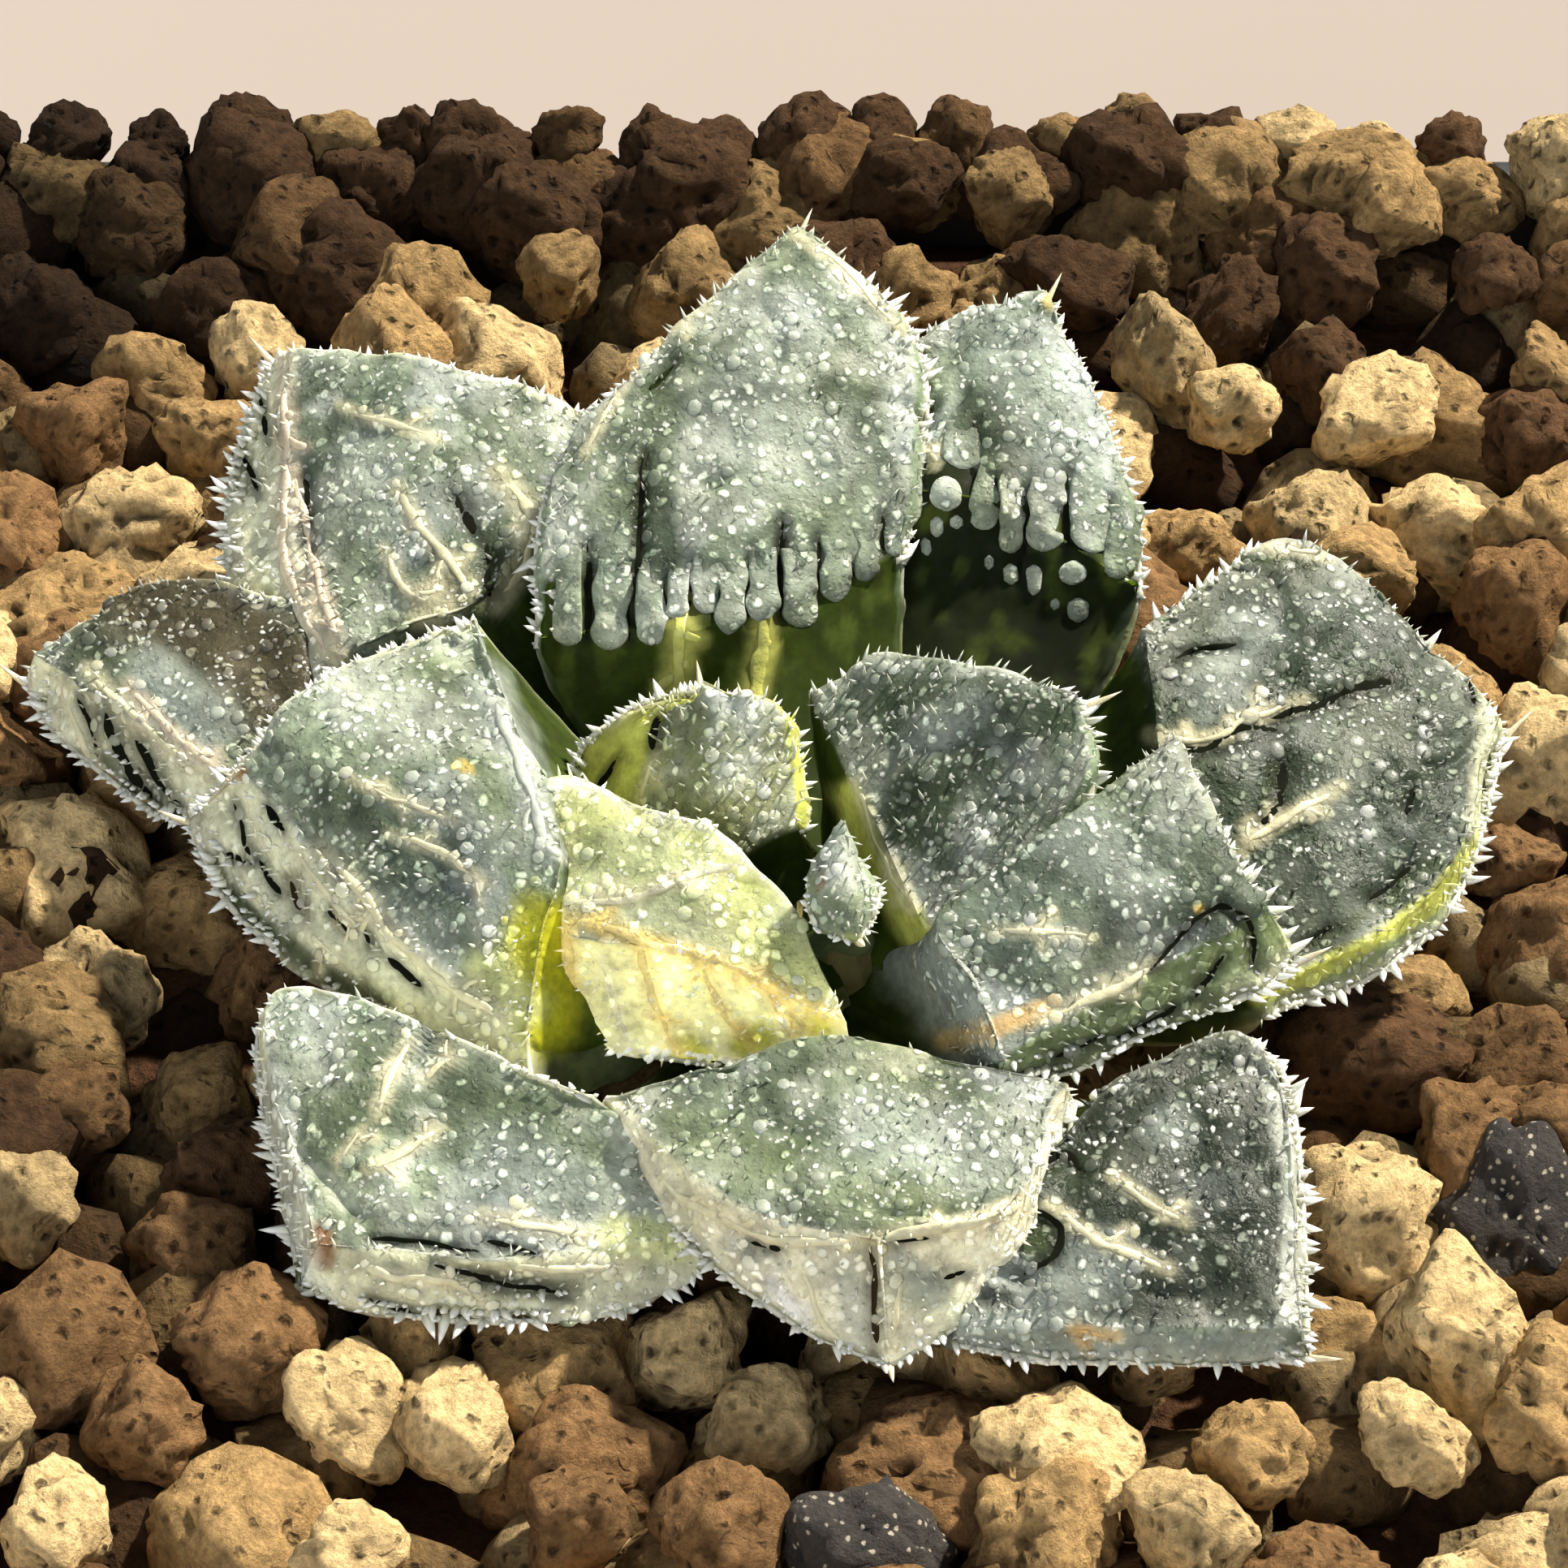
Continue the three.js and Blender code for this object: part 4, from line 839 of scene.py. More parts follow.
# How each leaf differs. Lines are in pixels of the picture. A patch has a colour, a reach in pixels and a
# strength; a vein or slit a colour, a width and a height in millimetres; a lobe of the window a width.
STYLES = {
    "leaf_back": dict(
        beads=0.62, fine=0.17, cloud=0.75,
        edge=((640, 700), (700, 720), (727, 702), (756, 732), (784, 700), (812, 735), (836, 722),
              (872, 730), (886, 716), (906, 724), (922, 706), (941, 716), (963, 682), (988, 722),
              (1008, 698), (1030, 706), (1074, 690), (1120, 650)), dim=0.88,
        patches=(
            (SILVER, 90, 0.5, (960, 420), (900, 520), (1000, 560)),
            (SLIT_GREEN, 14, 0.8, (793, 568), (786, 650), (784, 780)),
            (INNER_STREAK, 16, 0.7, (700, 800), (690, 900)),
        ),
        lobes=(
            (0.9, (700, 660), (699, 740), (697, 794)), (1.15, (756, 640), (753, 720), (750, 800)),
            (1.0, (812, 640), (806, 720), (800, 796)), (0.75, (838, 680), (836, 760)),
            (0.85, (872, 660), (868, 756)), (0.95, (906, 650), (903, 720), (899, 783)),
            (0.9, (940, 660), (941, 766)), (1.15, (988, 640), (985, 772)), (1.1, (1036, 640), (1030, 741)),
            (1.0, (1074, 620), (1070, 714)), (0.8, (1096, 620), (1104, 684)),
        ),
        marks=(
            (SLIT, 0.3, 0.03, (795, 560), (788, 620), (785, 700), (784, 770)),
            (SLIT, 0.22, 0.03, (963, 668), (962, 756)), (SLIT, 0.2, 0.03, (727, 700), (727, 780)),
            (STRIP, 0.5, 0.2, (840, 740), (838, 830), (834, 890)),
            (STRIP, 0.42, 0.2, (942, 740), (935, 830), (925, 880)),
            (CREAM, 0.2, 0.12, (978, 290), (1040, 330), (1090, 385), (1114, 410)),
            (SLIT_GREEN, 0.25, 0.03, (830, 447), (812, 470), (798, 478)),
            (CREAM, 0.16, 0.1, (905, 330), (830, 400), (770, 470), (720, 560)),
        )),
    "leaf_back_right": dict(
        beads=0.62, fine=0.17, cloud=0.7, inner=INNER_SIDE * 0.3,
        edge=((1030, 566), (1100, 590), (1146, 560), (1187, 562), (1206, 590), (1228, 606), (1252, 625),
              (1270, 612), (1293, 634), (1318, 620), (1345, 634), (1386, 664), (1420, 690)), dim=0.93,
        patches=((SILVER, 70, 0.4, (1250, 450), (1330, 560)),),
        lobes=(
            (1.1, (1074, 500), (1070, 596)), (1.05, (1124, 520), (1116, 590), (1111, 624)),
            (0.95, (1165, 600), (1165, 616)), (1.15, (1187, 500), (1185, 578)),
            (1.1, (1228, 530), (1216, 610), (1205, 652)), (0.9, (1252, 570), (1246, 680)),
            (1.15, (1293, 560), (1286, 680)), (1.2, (1345, 560), (1345, 680)),
            (1.1, (1386, 590), (1381, 712)), (0.85, (1322, 702), (1322, 708)),
            (0.45, (1246, 700), (1245, 714)), (0.5, (1274, 702), (1272, 726)),
            (0.5, (1156, 646), (1156, 656)), (0.4, (1141, 668), (1142, 678)),
            (0.55, (1327, 746), (1326, 758)), (0.35, (1180, 640), (1180, 648)),
            (0.3, (1218, 690), (1218, 698)), (0.3, (1300, 740), (1300, 746)),
        ),
        marks=(
            (SLIT_GREEN, 0.22, 0.03, (1152, 500), (1140, 520), (1128, 528)),
            (CREAM, 0.22, 0.15, (1110, 578), (1130, 556), (1160, 552)),
            (GOLD, 0.2, 0.2, (1296, 348), (1293, 372)),
        )),
    "leaf_back_left": dict(
        dim=0.9, beads=0.62, cloud=0.6, side=SMOOTH_SIDE,
        patches=(
            (CREAM, 44, 0.8, (536, 740)), (SLIT_GREEN, 26, 0.9, (611, 690), (630, 790)),
            (SILVER, 60, 0.4, (450, 560), (470, 640)), (SMOOTH_SIDE, 30, 0.8, (310, 520), (330, 640)),
        ),
        marks=(
            (RIDGE, 0.34, 0.3, (350, 436), (353, 568), (349, 662), (362, 728), (406, 812)),
            (RIDGE, 0.26, 0.25, (362, 577), (388, 700), (418, 803)),
            (SLIT, 0.3, 0.04, (376, 590), (381, 680)), (SLIT, 0.2, 0.04, (322, 490), (330, 545)),
            (SLIT, 0.18, 0.04, (300, 560), (318, 610)),
            (CREAM, 0.3, 0.22, (489, 601), (526, 662), (564, 704), (582, 730)),
            (CREAM, 0.24, 0.2, (475, 678), (498, 726), (530, 740)),
            (CREAM, 0.42, 0.25, (616, 585), (656, 634), (649, 690), (611, 740)),
            (SLIT, 0.42, 0.04, (562, 612), (584, 656)), (SLIT, 0.4, 0.04, (602, 668), (604, 735)),
            (CREAM, 0.2, 0.15, (420, 500), (470, 520), (540, 540)),
        )),
    "leaf_far_left": dict(
        dim=0.66, beads=0.6, cloud=0.5, side=SMOOTH_SIDE,
        patches=(
            # Painted shadow of leaf_back_left over this leaf's upper part
            (LEAF_SHADOW_BROWN, 110, 0.95, (180, 730), (280, 780), (370, 850)),
            (SILVER, 50, 0.6, (190, 830), (260, 890)),
            (SLIT_GREEN, 30, 0.9, (110, 930), (170, 1000), (240, 1030)),
        ),
        marks=(
            (CREAM, 0.3, 0.25, (110, 826), (160, 880), (200, 915), (256, 953)),
            (RIDGE, 0.26, 0.22, (160, 846), (215, 905), (268, 947)),
            (SLIT, 0.36, 0.04, (128, 880), (155, 944), (188, 984)),
            (SLIT, 0.3, 0.04, (169, 910), (197, 963), (221, 996)),
            (SLIT, 0.24, 0.04, (98, 862), (118, 925)),
            (CREAM, 0.18, 0.15, (80, 850), (110, 930), (160, 1000)),
        )),
    "leaf_left": dict(
        beads=0.6, cloud=0.55, clear=0.5, side=SMOOTH_SIDE,
        patches=(
            (LIME, 62, 0.9, (665, 1150), (668, 1260)), (PALE_GREEN, 46, 0.8, (600, 1205), (640, 1240)),
            (RUST, 12, 0.9, (296, 953)), (GOLD, 11, 0.8, (573, 944)),
            (SILVER, 40, 0.6, (600, 850), (660, 980)), (PAPILLA, 60, 0.4, (420, 830), (520, 900)),
            (SLIT_GREEN, 24, 0.9, (290, 1110), (342, 1160), (400, 1200), (470, 1240)),
        ),
        marks=(
            (CREAM, 0.34, 0.28, (388, 1047), (442, 1094), (489, 1160), (556, 1217), (620, 1254)),
            (CREAM, 0.2, 0.2, (479, 1029), (545, 1050), (602, 1090)),
            (CREAM, 0.16, 0.16, (430, 960), (500, 990), (560, 1010)),
            (SLIT, 0.18, 0.05, (290, 990), (298, 1020), (311, 1056)),
            (SLIT, 0.2, 0.05, (328, 990), (349, 1024)),
            (SLIT, 0.22, 0.05, (277, 1052), (310, 1064)), (SLIT_BROWN, 0.36, 0.05, (357, 1084), (373, 1122)),
            (SLIT, 0.22, 0.05, (404, 1120), (430, 1152)), (SLIT, 0.22, 0.05, (445, 1138), (458, 1164)),
            (SLIT, 0.18, 0.05, (320, 1060), (344, 1104)), (SLIT, 0.2, 0.05, (480, 1180), (520, 1216)),
            (CREAM, 0.2, 0.15, (300, 1090), (330, 1120)), (CREAM, 0.2, 0.15, (380, 1150), (420, 1182)),
            (CREAM, 0.2, 0.15, (350, 1036), (400, 1096), (440, 1150)),
            (PAPILLA, 0.3, 0.2, (604, 850), (650, 960), (678, 1058)),
        )),
    "leaf_front_left": dict(
        beads=0.6, cloud=0.65, side=SMOOTH_SIDE,
        patches=(
            (RUST, 22, 0.85, (395, 1520), (398, 1550)),
            (PAPILLA, 32, 0.6, (336, 1330), (356, 1440), (374, 1580)),
            (PALE_GREEN, 40, 0.7, (760, 1520), (840, 1530)), (SILVER, 60, 0.5, (620, 1430), (720, 1470)),
            (SLIT_GREEN, 26, 0.6, (560, 1580), (700, 1590)),
        ),
        marks=(
            (CREAM, 0.24, 0.2, (505, 1280), (479, 1334), (465, 1376)),
            (CREAM, 0.26, 0.22, (454, 1442), (494, 1421), (542, 1390)),
            (CREAM, 0.2, 0.18, (416, 1430), (448, 1392)), (CREAM, 0.2, 0.18, (520, 1330), (560, 1300)),
            (SLIT, 0.22, 0.04, (456, 1527), (524, 1531), (590, 1545)),
            (SLIT, 0.3, 0.04, (532, 1558), (608, 1578), (690, 1592)),
            (SLIT, 0.22, 0.04, (452, 1598), (505, 1616)), (SLIT, 0.22, 0.04, (600, 1530), (660, 1545)),
            (CREAM, 0.3, 0.2, (436, 1556), (486, 1573), (547, 1577), (604, 1609)),
            (CREAM, 0.32, 0.24, (596, 1500), (669, 1513), (735, 1524)),
            (CREAM, 0.2, 0.15, (620, 1560), (700, 1566), (780, 1560)),
        )),
    "leaf_front": dict(
        dim=0.76, beads=0.58, cloud=0.7, clear=0.45, side=PALE_SIDE,
        patches=(
            # The pale patches on the lower facet are partly painted light coming through it
            (PALE_SIDE, 80, 0.95, (930, 1560), (1010, 1610)),
            (PALE_SIDE, 44, 0.6, (1120, 1556), (1200, 1530)),
            (SMOOTH_SIDE, 46, 0.9, (1120, 1580), (1170, 1610)), (SILVER, 30, 0.6, (1110, 1556), (1150, 1590)),
            (SILVER, 26, 0.55, (1040, 1560), (1056, 1640)), (SILVER, 22, 0.5, (900, 1530), (960, 1560)),
            # Painted highlight on the lower facet
            (WHITE, 18, 0.8, (950, 1580), (990, 1620)),
            (SILVER, 70, 0.5, (1080, 1390), (1200, 1420)), (MOSS, 60, 0.5, (840, 1400), (950, 1440)),
            (PAPILLA, 22, 0.6, (1276, 1460), (1330, 1366)),
        ),
        marks=(
            (CREAM, 0.34, 0.26, (796, 1440), (863, 1489), (940, 1524), (1017, 1532), (1070, 1532)),
            (CREAM, 0.34, 0.26, (1078, 1530), (1132, 1518), (1199, 1508), (1268, 1487)),
            (SLIT_BROWN, 0.3, 0.05, (1074, 1540), (1078, 1600), (1080, 1656)),
            (SLIT, 0.2, 0.05, (1100, 1533), (1144, 1524)), (SLIT, 0.2, 0.05, (925, 1532), (962, 1540)),
            (SLIT, 0.22, 0.05, (1160, 1575), (1190, 1566)),
            (CREAM, 0.2, 0.16, (985, 1560), (1010, 1620), (1040, 1660)),
            (CREAM, 0.2, 0.16, (1110, 1560), (1104, 1620), (1092, 1664)),
        )),
    "leaf_front_right": dict(
        dim=0.46, beads=0.62, window=DIM_WINDOW * 0.8, clear_tone=DARK_WINDOW * 0.8, cloud=0.3, clear=0.6,
        side=DIM_WINDOW,
        patches=(
            (PAPILLA, 24, 0.6, (1560, 1290), (1596, 1450), (1590, 1620)), (SILVER, 50, 0.5, (1440, 1390)),
            (SILVER, 40, 0.6, (1180, 1640), (1300, 1652), (1430, 1664), (1560, 1660)),
            (SILVER, 70, 0.5, (1230, 1610), (1340, 1560)), (SLIT_GREEN, 34, 0.8, (1240, 1500), (1290, 1540)),
        ),
        marks=(
            (CREAM, 0.26, 0.22, (1293, 1487), (1353, 1528), (1440, 1563)),
            (CREAM, 0.22, 0.2, (1372, 1449), (1430, 1489), (1462, 1506)),
            (SLIT, 0.3, 0.05, (1233, 1508), (1266, 1494), (1305, 1513), (1300, 1547), (1257, 1571)),
            (SLIT, 0.34, 0.05, (1151, 1590), (1190, 1600), (1240, 1600)),
            (PEACH, 0.14, 0.08, (1320, 1638), (1376, 1646)),
            (SLIT, 0.26, 0.05, (1270, 1440), (1310, 1420), (1330, 1440)),
        )),
    "leaf_far_right": dict(
        dim=0.62, beads=0.7, window=DIM_WINDOW, cloud=0.35, clear=0.6, pearl=1.2, side=MOSS,
        patches=(
            (SLIT_GREEN, 16, 0.9, (1570, 950), (1566, 1000)), (SILVER, 60, 0.45, (1540, 780), (1500, 850)),
            (SMOOTH_SIDE, 30, 0.6, (1770, 740), (1828, 810), (1842, 900), (1826, 1010)),
            (OLIVE, 16, 0.9, (1550, 1228), (1655, 1181), (1760, 1118), (1830, 1034)),
            (SLIT_GREEN, 16, 0.7, (1560, 1190), (1680, 1130), (1770, 1060)),
            (SLIT_GREEN, 12, 0.8, (1480, 700), (1543, 688), (1613, 698)),
        ),
        marks=(
            (SLIT, 0.5, 0.05, (1448, 926), (1494, 922), (1522, 901), (1574, 896)),
            (SLIT, 0.3, 0.05, (1570, 886), (1620, 870), (1655, 856)),
            (SLIT, 0.5, 0.05, (1648, 858), (1680, 848), (1716, 838)),
            (CREAM, 0.26, 0.22, (1417, 906), (1470, 912), (1508, 906), (1532, 888), (1606, 864)),
            (SLIT, 0.55, 0.05, (1582, 938), (1574, 990), (1556, 1016)),
            (CREAM, 0.26, 0.22, (1520, 1050), (1578, 1013), (1650, 970)),
            (SLIT, 0.2, 0.05, (1445, 813), (1480, 800), (1524, 792)),
            (SLIT, 0.26, 0.05, (1742, 970), (1734, 1004)), (SLIT, 0.26, 0.05, (1812, 836), (1818, 866)),
            (SLIT, 0.22, 0.05, (1600, 1168), (1640, 1140)), (SLIT, 0.22, 0.05, (1690, 1110), (1740, 1066)),
            (CREAM, 0.2, 0.2, (1440, 682), (1550, 668), (1634, 686)),
        )),
    "leaf_right": dict(
        dim=0.72, beads=0.6, cloud=0.6, clear=0.55, side=MOSS, spill=-0.4,
        patches=(
            (SILVER, 60, 0.75, (1130, 1180), (1160, 1230), (1190, 1290)),
            (PEACH, 18, 0.75, (1160, 1284), (1222, 1268), (1284, 1244)),
            (GOLD, 9, 0.9, (1478, 1120)), (SLIT_GREEN, 26, 0.75, (1290, 1316), (1400, 1276), (1500, 1226)),
            (SILVER, 60, 0.4, (1330, 1030), (1400, 1100)),
        ),
        marks=(
            (CREAM, 0.2, 0.16, (1225, 1146), (1290, 1148), (1350, 1157)),
            (CREAM, 0.26, 0.2, (1284, 1252), (1358, 1225), (1424, 1186)),
            (SLIT, 0.26, 0.05, (1420, 1196), (1468, 1142), (1505, 1119), (1537, 1137), (1546, 1190)),
            (MOSS, 0.6, 0.12, (1486, 1180), (1480, 1200)), (MOSS, 0.5, 0.12, (1440, 1220), (1426, 1236)),
            (MOSS, 0.45, 0.12, (1390, 1246), (1372, 1260)), (SLIT, 0.24, 0.05, (1376, 1280), (1450, 1240)),
            (SLIT, 0.24, 0.05, (1470, 1226), (1510, 1180)), (SLIT, 0.2, 0.05, (1300, 1300), (1360, 1276)),
        )),
    "leaf_inner_right": dict(
        dim=0.9, beads=0.46, window=DIM_WINDOW, spiny=True, cloud=0.5, clear=0.7,
        patches=(
            (OLIVE, 26, 0.85, (1040, 980), (1072, 1059), (1109, 1124), (1137, 1160)),
            (SILVER, 40, 0.4, (1130, 920), (1200, 870)),
        ),
        marks=((CREAM, 0.2, 0.15, (1052, 960), (1080, 1040), (1122, 1120)),)),
    "leaf_inner_left": dict(
        beads=0.46, spiny=True, side=OLIVE, window=WARM_WINDOW, cloud=0.8, clear=0.3, clear_tone=MOSS,
        bare=((745, 930), 62),
        patches=((OLIVE, 62, 0.95, (735, 930), (765, 950)), (PALE_GREEN, 20, 0.6, (700, 975), (720, 985))),
        marks=(
            (CREAM, 0.26, 0.2, (681, 958), (697, 918), (741, 877), (815, 858)),
            (SLIT, 0.3, 0.05, (810, 880), (806, 924)), (SLIT, 0.2, 0.05, (762, 932), (736, 970)),
            (CREAM, 0.18, 0.14, (806, 930), (796, 960), (786, 990)),
        )),
    "leaf_inner_front": dict(
        painted_glow=True, beads=0.56, window=PALE_GREEN, side=PALE_YELLOW, cloud=0.5, clear=0.35, clear_tone=MOSS,
        patches=(
            # The pale yellow patch is partly painted light coming through the lower facet
            (MOSS, 50, 0.6, (740, 1040), (840, 1090)), (PALE_YELLOW, 90, 0.8, (740, 1230), (900, 1270)),
            (GOLD, 18, 0.5, (697, 1142), (706, 1216), (709, 1298)),
            (LIME, 30, 0.85, (847, 1296), (860, 1304)), (LIME, 26, 0.85, (914, 1286), (940, 1276)),
            (LIME, 22, 0.7, (1008, 1262)),
            (GOLD, 14, 0.4, (732, 1137), (796, 1160), (879, 1183), (944, 1216), (1040, 1258)),
        ),
        marks=(
            (AMBER, 0.36, 0.28, (695, 1133), (732, 1137), (796, 1160), (879, 1183), (944, 1216),
             (1042, 1260)),
            (AMBER, 0.26, 0.2, (787, 1160), (801, 1216), (824, 1280), (850, 1306)),
            (AMBER, 0.24, 0.2, (861, 1186), (888, 1243), (925, 1286)),
            (AMBER, 0.22, 0.2, (944, 1216), (972, 1250), (1000, 1270)),
            (AMBER, 0.26, 0.2, (697, 1142), (704, 1216), (710, 1296)),
            (CREAM, 0.3, 0.24, (695, 1112), (778, 1105), (852, 1078), (916, 1068)),
            (CREAM, 0.2, 0.16, (740, 1180), (760, 1240), (776, 1290)),
        )),
    "leaf_bud": dict(
        beads=0.4, spiny=True, cloud=0.7,
        patches=((RUST, 12, 0.8, (1012, 1086)), (OLIVE, 26, 0.8, (1040, 1170), (1060, 1200)),
                 (PAPILLA, 30, 0.5, (1034, 1040), (1040, 1090)))),
}

# Small shapes set over the leaves: low pearls, fine spikes and marginal teeth
PEARL = thorn(7, (1.2, 0.9, 0.5), (-0.4, 0.4, 0.85), 0.0)
SPIKE = thorn(4, (1.0, 0.62), (-0.25, 0.4), 0.3)
TOOTH = thorn(5, (1.0, 0.74, 0.44), (-0.3, 0.25, 0.62), 0.35)
# The spacing of the fine spikes. Each leaf's style gives that of its pearls.
SPIKE_PITCH = 0.38
# Width and height of the least pearl and the least spike, each with what the largest has more
PEARL_SIZE = ((0.15, 0.11), (0.035, 0.03))
SPIKE_SIZE = ((0.05, 0.035), (0.14, 0.2))
# Rows of teeth: spacing, length and width in millimetres, and how far behind the margin
TEETH = ((0.34, 0.56, 0.2, 0.0), (0.3, 0.4, 0.18, 0.18), (0.44, 0.34, 0.15, 0.5))
# Width, depth and length of the tooth at the tip
TIP_TOOTH = (0.16, 0.16, 1.3)
# Spacing of the raised rim's rings, its radius and how much that varies
RIM_STEP = 0.2
RIM_RADIUS = 0.11
RIM_UNEVEN = 0.06
# The fringe's materials in order
DETAIL, LOBE, CUT, PAINTED_GLOW_LOOK = range(4)
# In pixels: how far below the window's edge a drop stands apart, and how far a lobe reaches up past it
DROP_GAP = 14
LOBE_REACH = 44


def sprinkle(leaf, weight, pitch, seed):
    """Places scattered over the skin, none much nearer to another than the pitch, with the directions out of
    it and a vertex near each."""
    a, b, c = (leaf.points[leaf.tris[:, k]] for k in range(3))
    area = np.linalg.norm(np.cross(b - a, c - a), axis=1) / 2 * weight[leaf.tris].mean(1)
    total = np.cumsum(area)
    count = int(1.7 * total[-1] / pitch ** 2)
    index = np.arange(count)
    tri = np.searchsorted(total, drawn(index, seed) * total[-1])
    u, v = drawn(index, seed + 1), drawn(index, seed + 2)
    u, v = np.where(u + v > 1, 1 - u, u), np.where(u + v > 1, 1 - v, v)
    places = a[tri] + u[:, None] * (b - a)[tri] + v[:, None] * (c - a)[tri]
    kept = np.zeros(0, int)
    for i in index:
        if len(kept) == 0 or np.min(((places[kept] - places[i]) ** 2).sum(1)) > (0.74 * pitch) ** 2:
            kept = np.append(kept, i)
    return places[kept], unit(leaf.way[leaf.tris[tri[kept]]].mean(1)), leaf.tris[tri[kept], 0]


def scatter_pearls(leaf, parts, number):
    """Papillae over the window and the skirts: low pearls, and fine spikes where they crowd and near the
    edges. Some are whitened where they crowd, as painted glints."""
    style = leaf.style
    weight = leaf.window_mask(soft=0.4) * (leaf.kind != UNDER) * np.where(leaf.kind == TOP, 1.0, 0.6)
    if style["bare"]:
        centre, reach = style["bare"]
        weight = weight * (line_distance(leaf.seen, [centre]) > reach)
    rim = np.where(leaf.kind == TOP, smooth(0.72, 1.0, np.maximum(np.abs(leaf.across), leaf.along)), 0.5)
    spiny = float(style["spiny"])
    dim = style["dim"]
    for shape, pitch, seed in ((PEARL, style["beads"], 50), (SPIKE, SPIKE_PITCH, 150)):
        point, way, near = sprinkle(leaf, weight, pitch, number + seed)
        index = np.arange(len(point))
        crowd = rough(point / 1.7 + number, 51)
        if shape is PEARL:
            keep = drawn(index, 9) < 0.34 + 0.8 * crowd - 0.15 * spiny
        else:
            keep = drawn(index, 9) < 0.05 + 0.65 * smooth(0.05, 0.45, crowd) + 0.9 * rim[near] + 0.6 * spiny
        point, way, near, index, crowd = (v[keep] for v in (point, way, near, index, crowd))
        size = drawn(index, 3) ** 1.3
        # Pearls whiten where they crowd as painted glints; spikes whiten as their white tips and as painted
        # glints
        painted_glint = smooth(0.7, 1.25, 0.8 * drawn(index, 13) + 1.0 * crowd)[:, None]
        tone = leaf.colour[near]
        sizes = PEARL_SIZE if shape is PEARL else SPIKE_SIZE
        wide, high = (least + more * size for least, more in sizes)
        if shape is PEARL:
            wide = wide * style["pearl"]
            tone = mix(mix(1.18 * tone, PAPILLA * dim, 0.1), WHITE * dim, 0.5 * painted_glint)
            axes = axes_for(way, leaf.out + 0.01)
        else:
            high = high * (1 + 0.5 * rim[near] + 0.4 * spiny)
            tone = mix(mix(1.3 * tone, PAPILLA * dim, 0.35), WHITE * dim, 0.1 + 0.85 * painted_glint)
            stray = np.stack([spread(index, 5 + k) for k in range(3)], -1)
            axes = axes_for(unit(way + 0.3 * leaf.out + 0.45 * stray), leaf.out + 0.01)
        sizes = np.stack([wide * (1 + 0.3 * spread(index, 21)), wide, high], 1)
        points, tris = stamp(shape, point, axes, sizes)
        look = np.where(style["painted_glow"] & np.isin(leaf.kind[near], SKIRTS), PAINTED_GLOW_LOOK, DETAIL)
        parts.add(points, tris, np.repeat(tone, len(shape[0]), axis=0), np.repeat(look, len(shape[1])))


def scatter_teeth(leaf, parts, number):
    """Fine teeth along both margins, with smaller ones between and behind them, and a raised rim."""
    small = min(1, leaf.thick / 3.5)
    for side in (0, 1):
        t = np.linspace(0, 1, 200)
        line, _ = leaf.margin(t, side)
        run = run_along(line)
        for layer, (pitch, long, wide, back) in enumerate(TEETH):
            count = int(run[-1] / (pitch * mix(0.65, 1, small)))
            index = np.arange(count)
            seed = number * 7 + side * 3 + layer
            want = (index + 0.5 + 0.5 * spread(index, seed)) / count * run[-1]
            where = np.interp(want, run, t)
            point, direction = leaf.margin(where, side)
            along = np.cross(direction, UP)
            aim = unit(direction + (leaf.out * 0.3 + along * 0.6 * spread(index, seed + 1)[:, None])
                       + UP * (0.25 + 0.55 * spread(index, seed + 2))[:, None])
            clump = 1 + 0.6 * noise(point / 0.9, 64 + layer)
            size = (0.3 + 0.95 * drawn(index, seed + 4) ** 1.5) * clump * small
            foot = point - direction * back * 1.2 + UP * back * 1.4
            sizes = np.stack([0.8 * wide * size ** 0.4, wide * size ** 0.4, long * size], 1)
            points, tris = stamp(TOOTH, foot, axes_for(aim, UP + 0.3 * leaf.out), sizes)
            high = np.tile(TOOTH[0][:, 2], count)[:, None]
            tint = mix(mix(MARGIN, WINDOW, 0.2), WHITE, smooth(-0.2, 0.6, high))
            shade = np.repeat(0.85 + 0.3 * drawn(index, seed + 6), len(TOOTH[0]))[:, None]
            parts.add(points, tris, tint * shade, PAINTED_GLOW_LOOK if leaf.style["painted_glow"] and side == 0 else DETAIL)
        steps = np.interp(np.linspace(0, run[-1], max(12, int(run[-1] / RIM_STEP))), run, t)
        path, direction = leaf.margin(steps, side)
        bumpy = noise(path / 0.5, 61)[:, None]
        path = path - direction * (0.06 + 0.05 * bumpy) + UP * 0.06 * noise(path / 0.8, 62)[:, None]
        radius = (RIM_RADIUS + RIM_UNEVEN * bumpy[:, 0]) * small ** 0.5
        points, tris = tube_along(path, np.broadcast_to(UP, path.shape), radius)
        parts.add(points, tris, mix(MARGIN, WHITE, 0.3) * (0.9 + 0.2 * noise(points / 0.7, 63)[:, None]))
    tip, _ = leaf.margin(np.array([1.0]), 0)
    aim = unit(leaf.out + 0.5 * UP + 0.3 * spread(number, 5) * np.cross(leaf.out, UP))
    size = np.array([TIP_TOOTH]) * [1, 1, small]
    points, tris = stamp(TOOTH, tip, axes_for(aim[None], UP[None]), size)
    parts.add(points, tris, mix(GOLD, WHITE, 0.5))


# Millimetres between two traced places, beyond which a line has left its fold
LARGEST_JUMP = 1.0


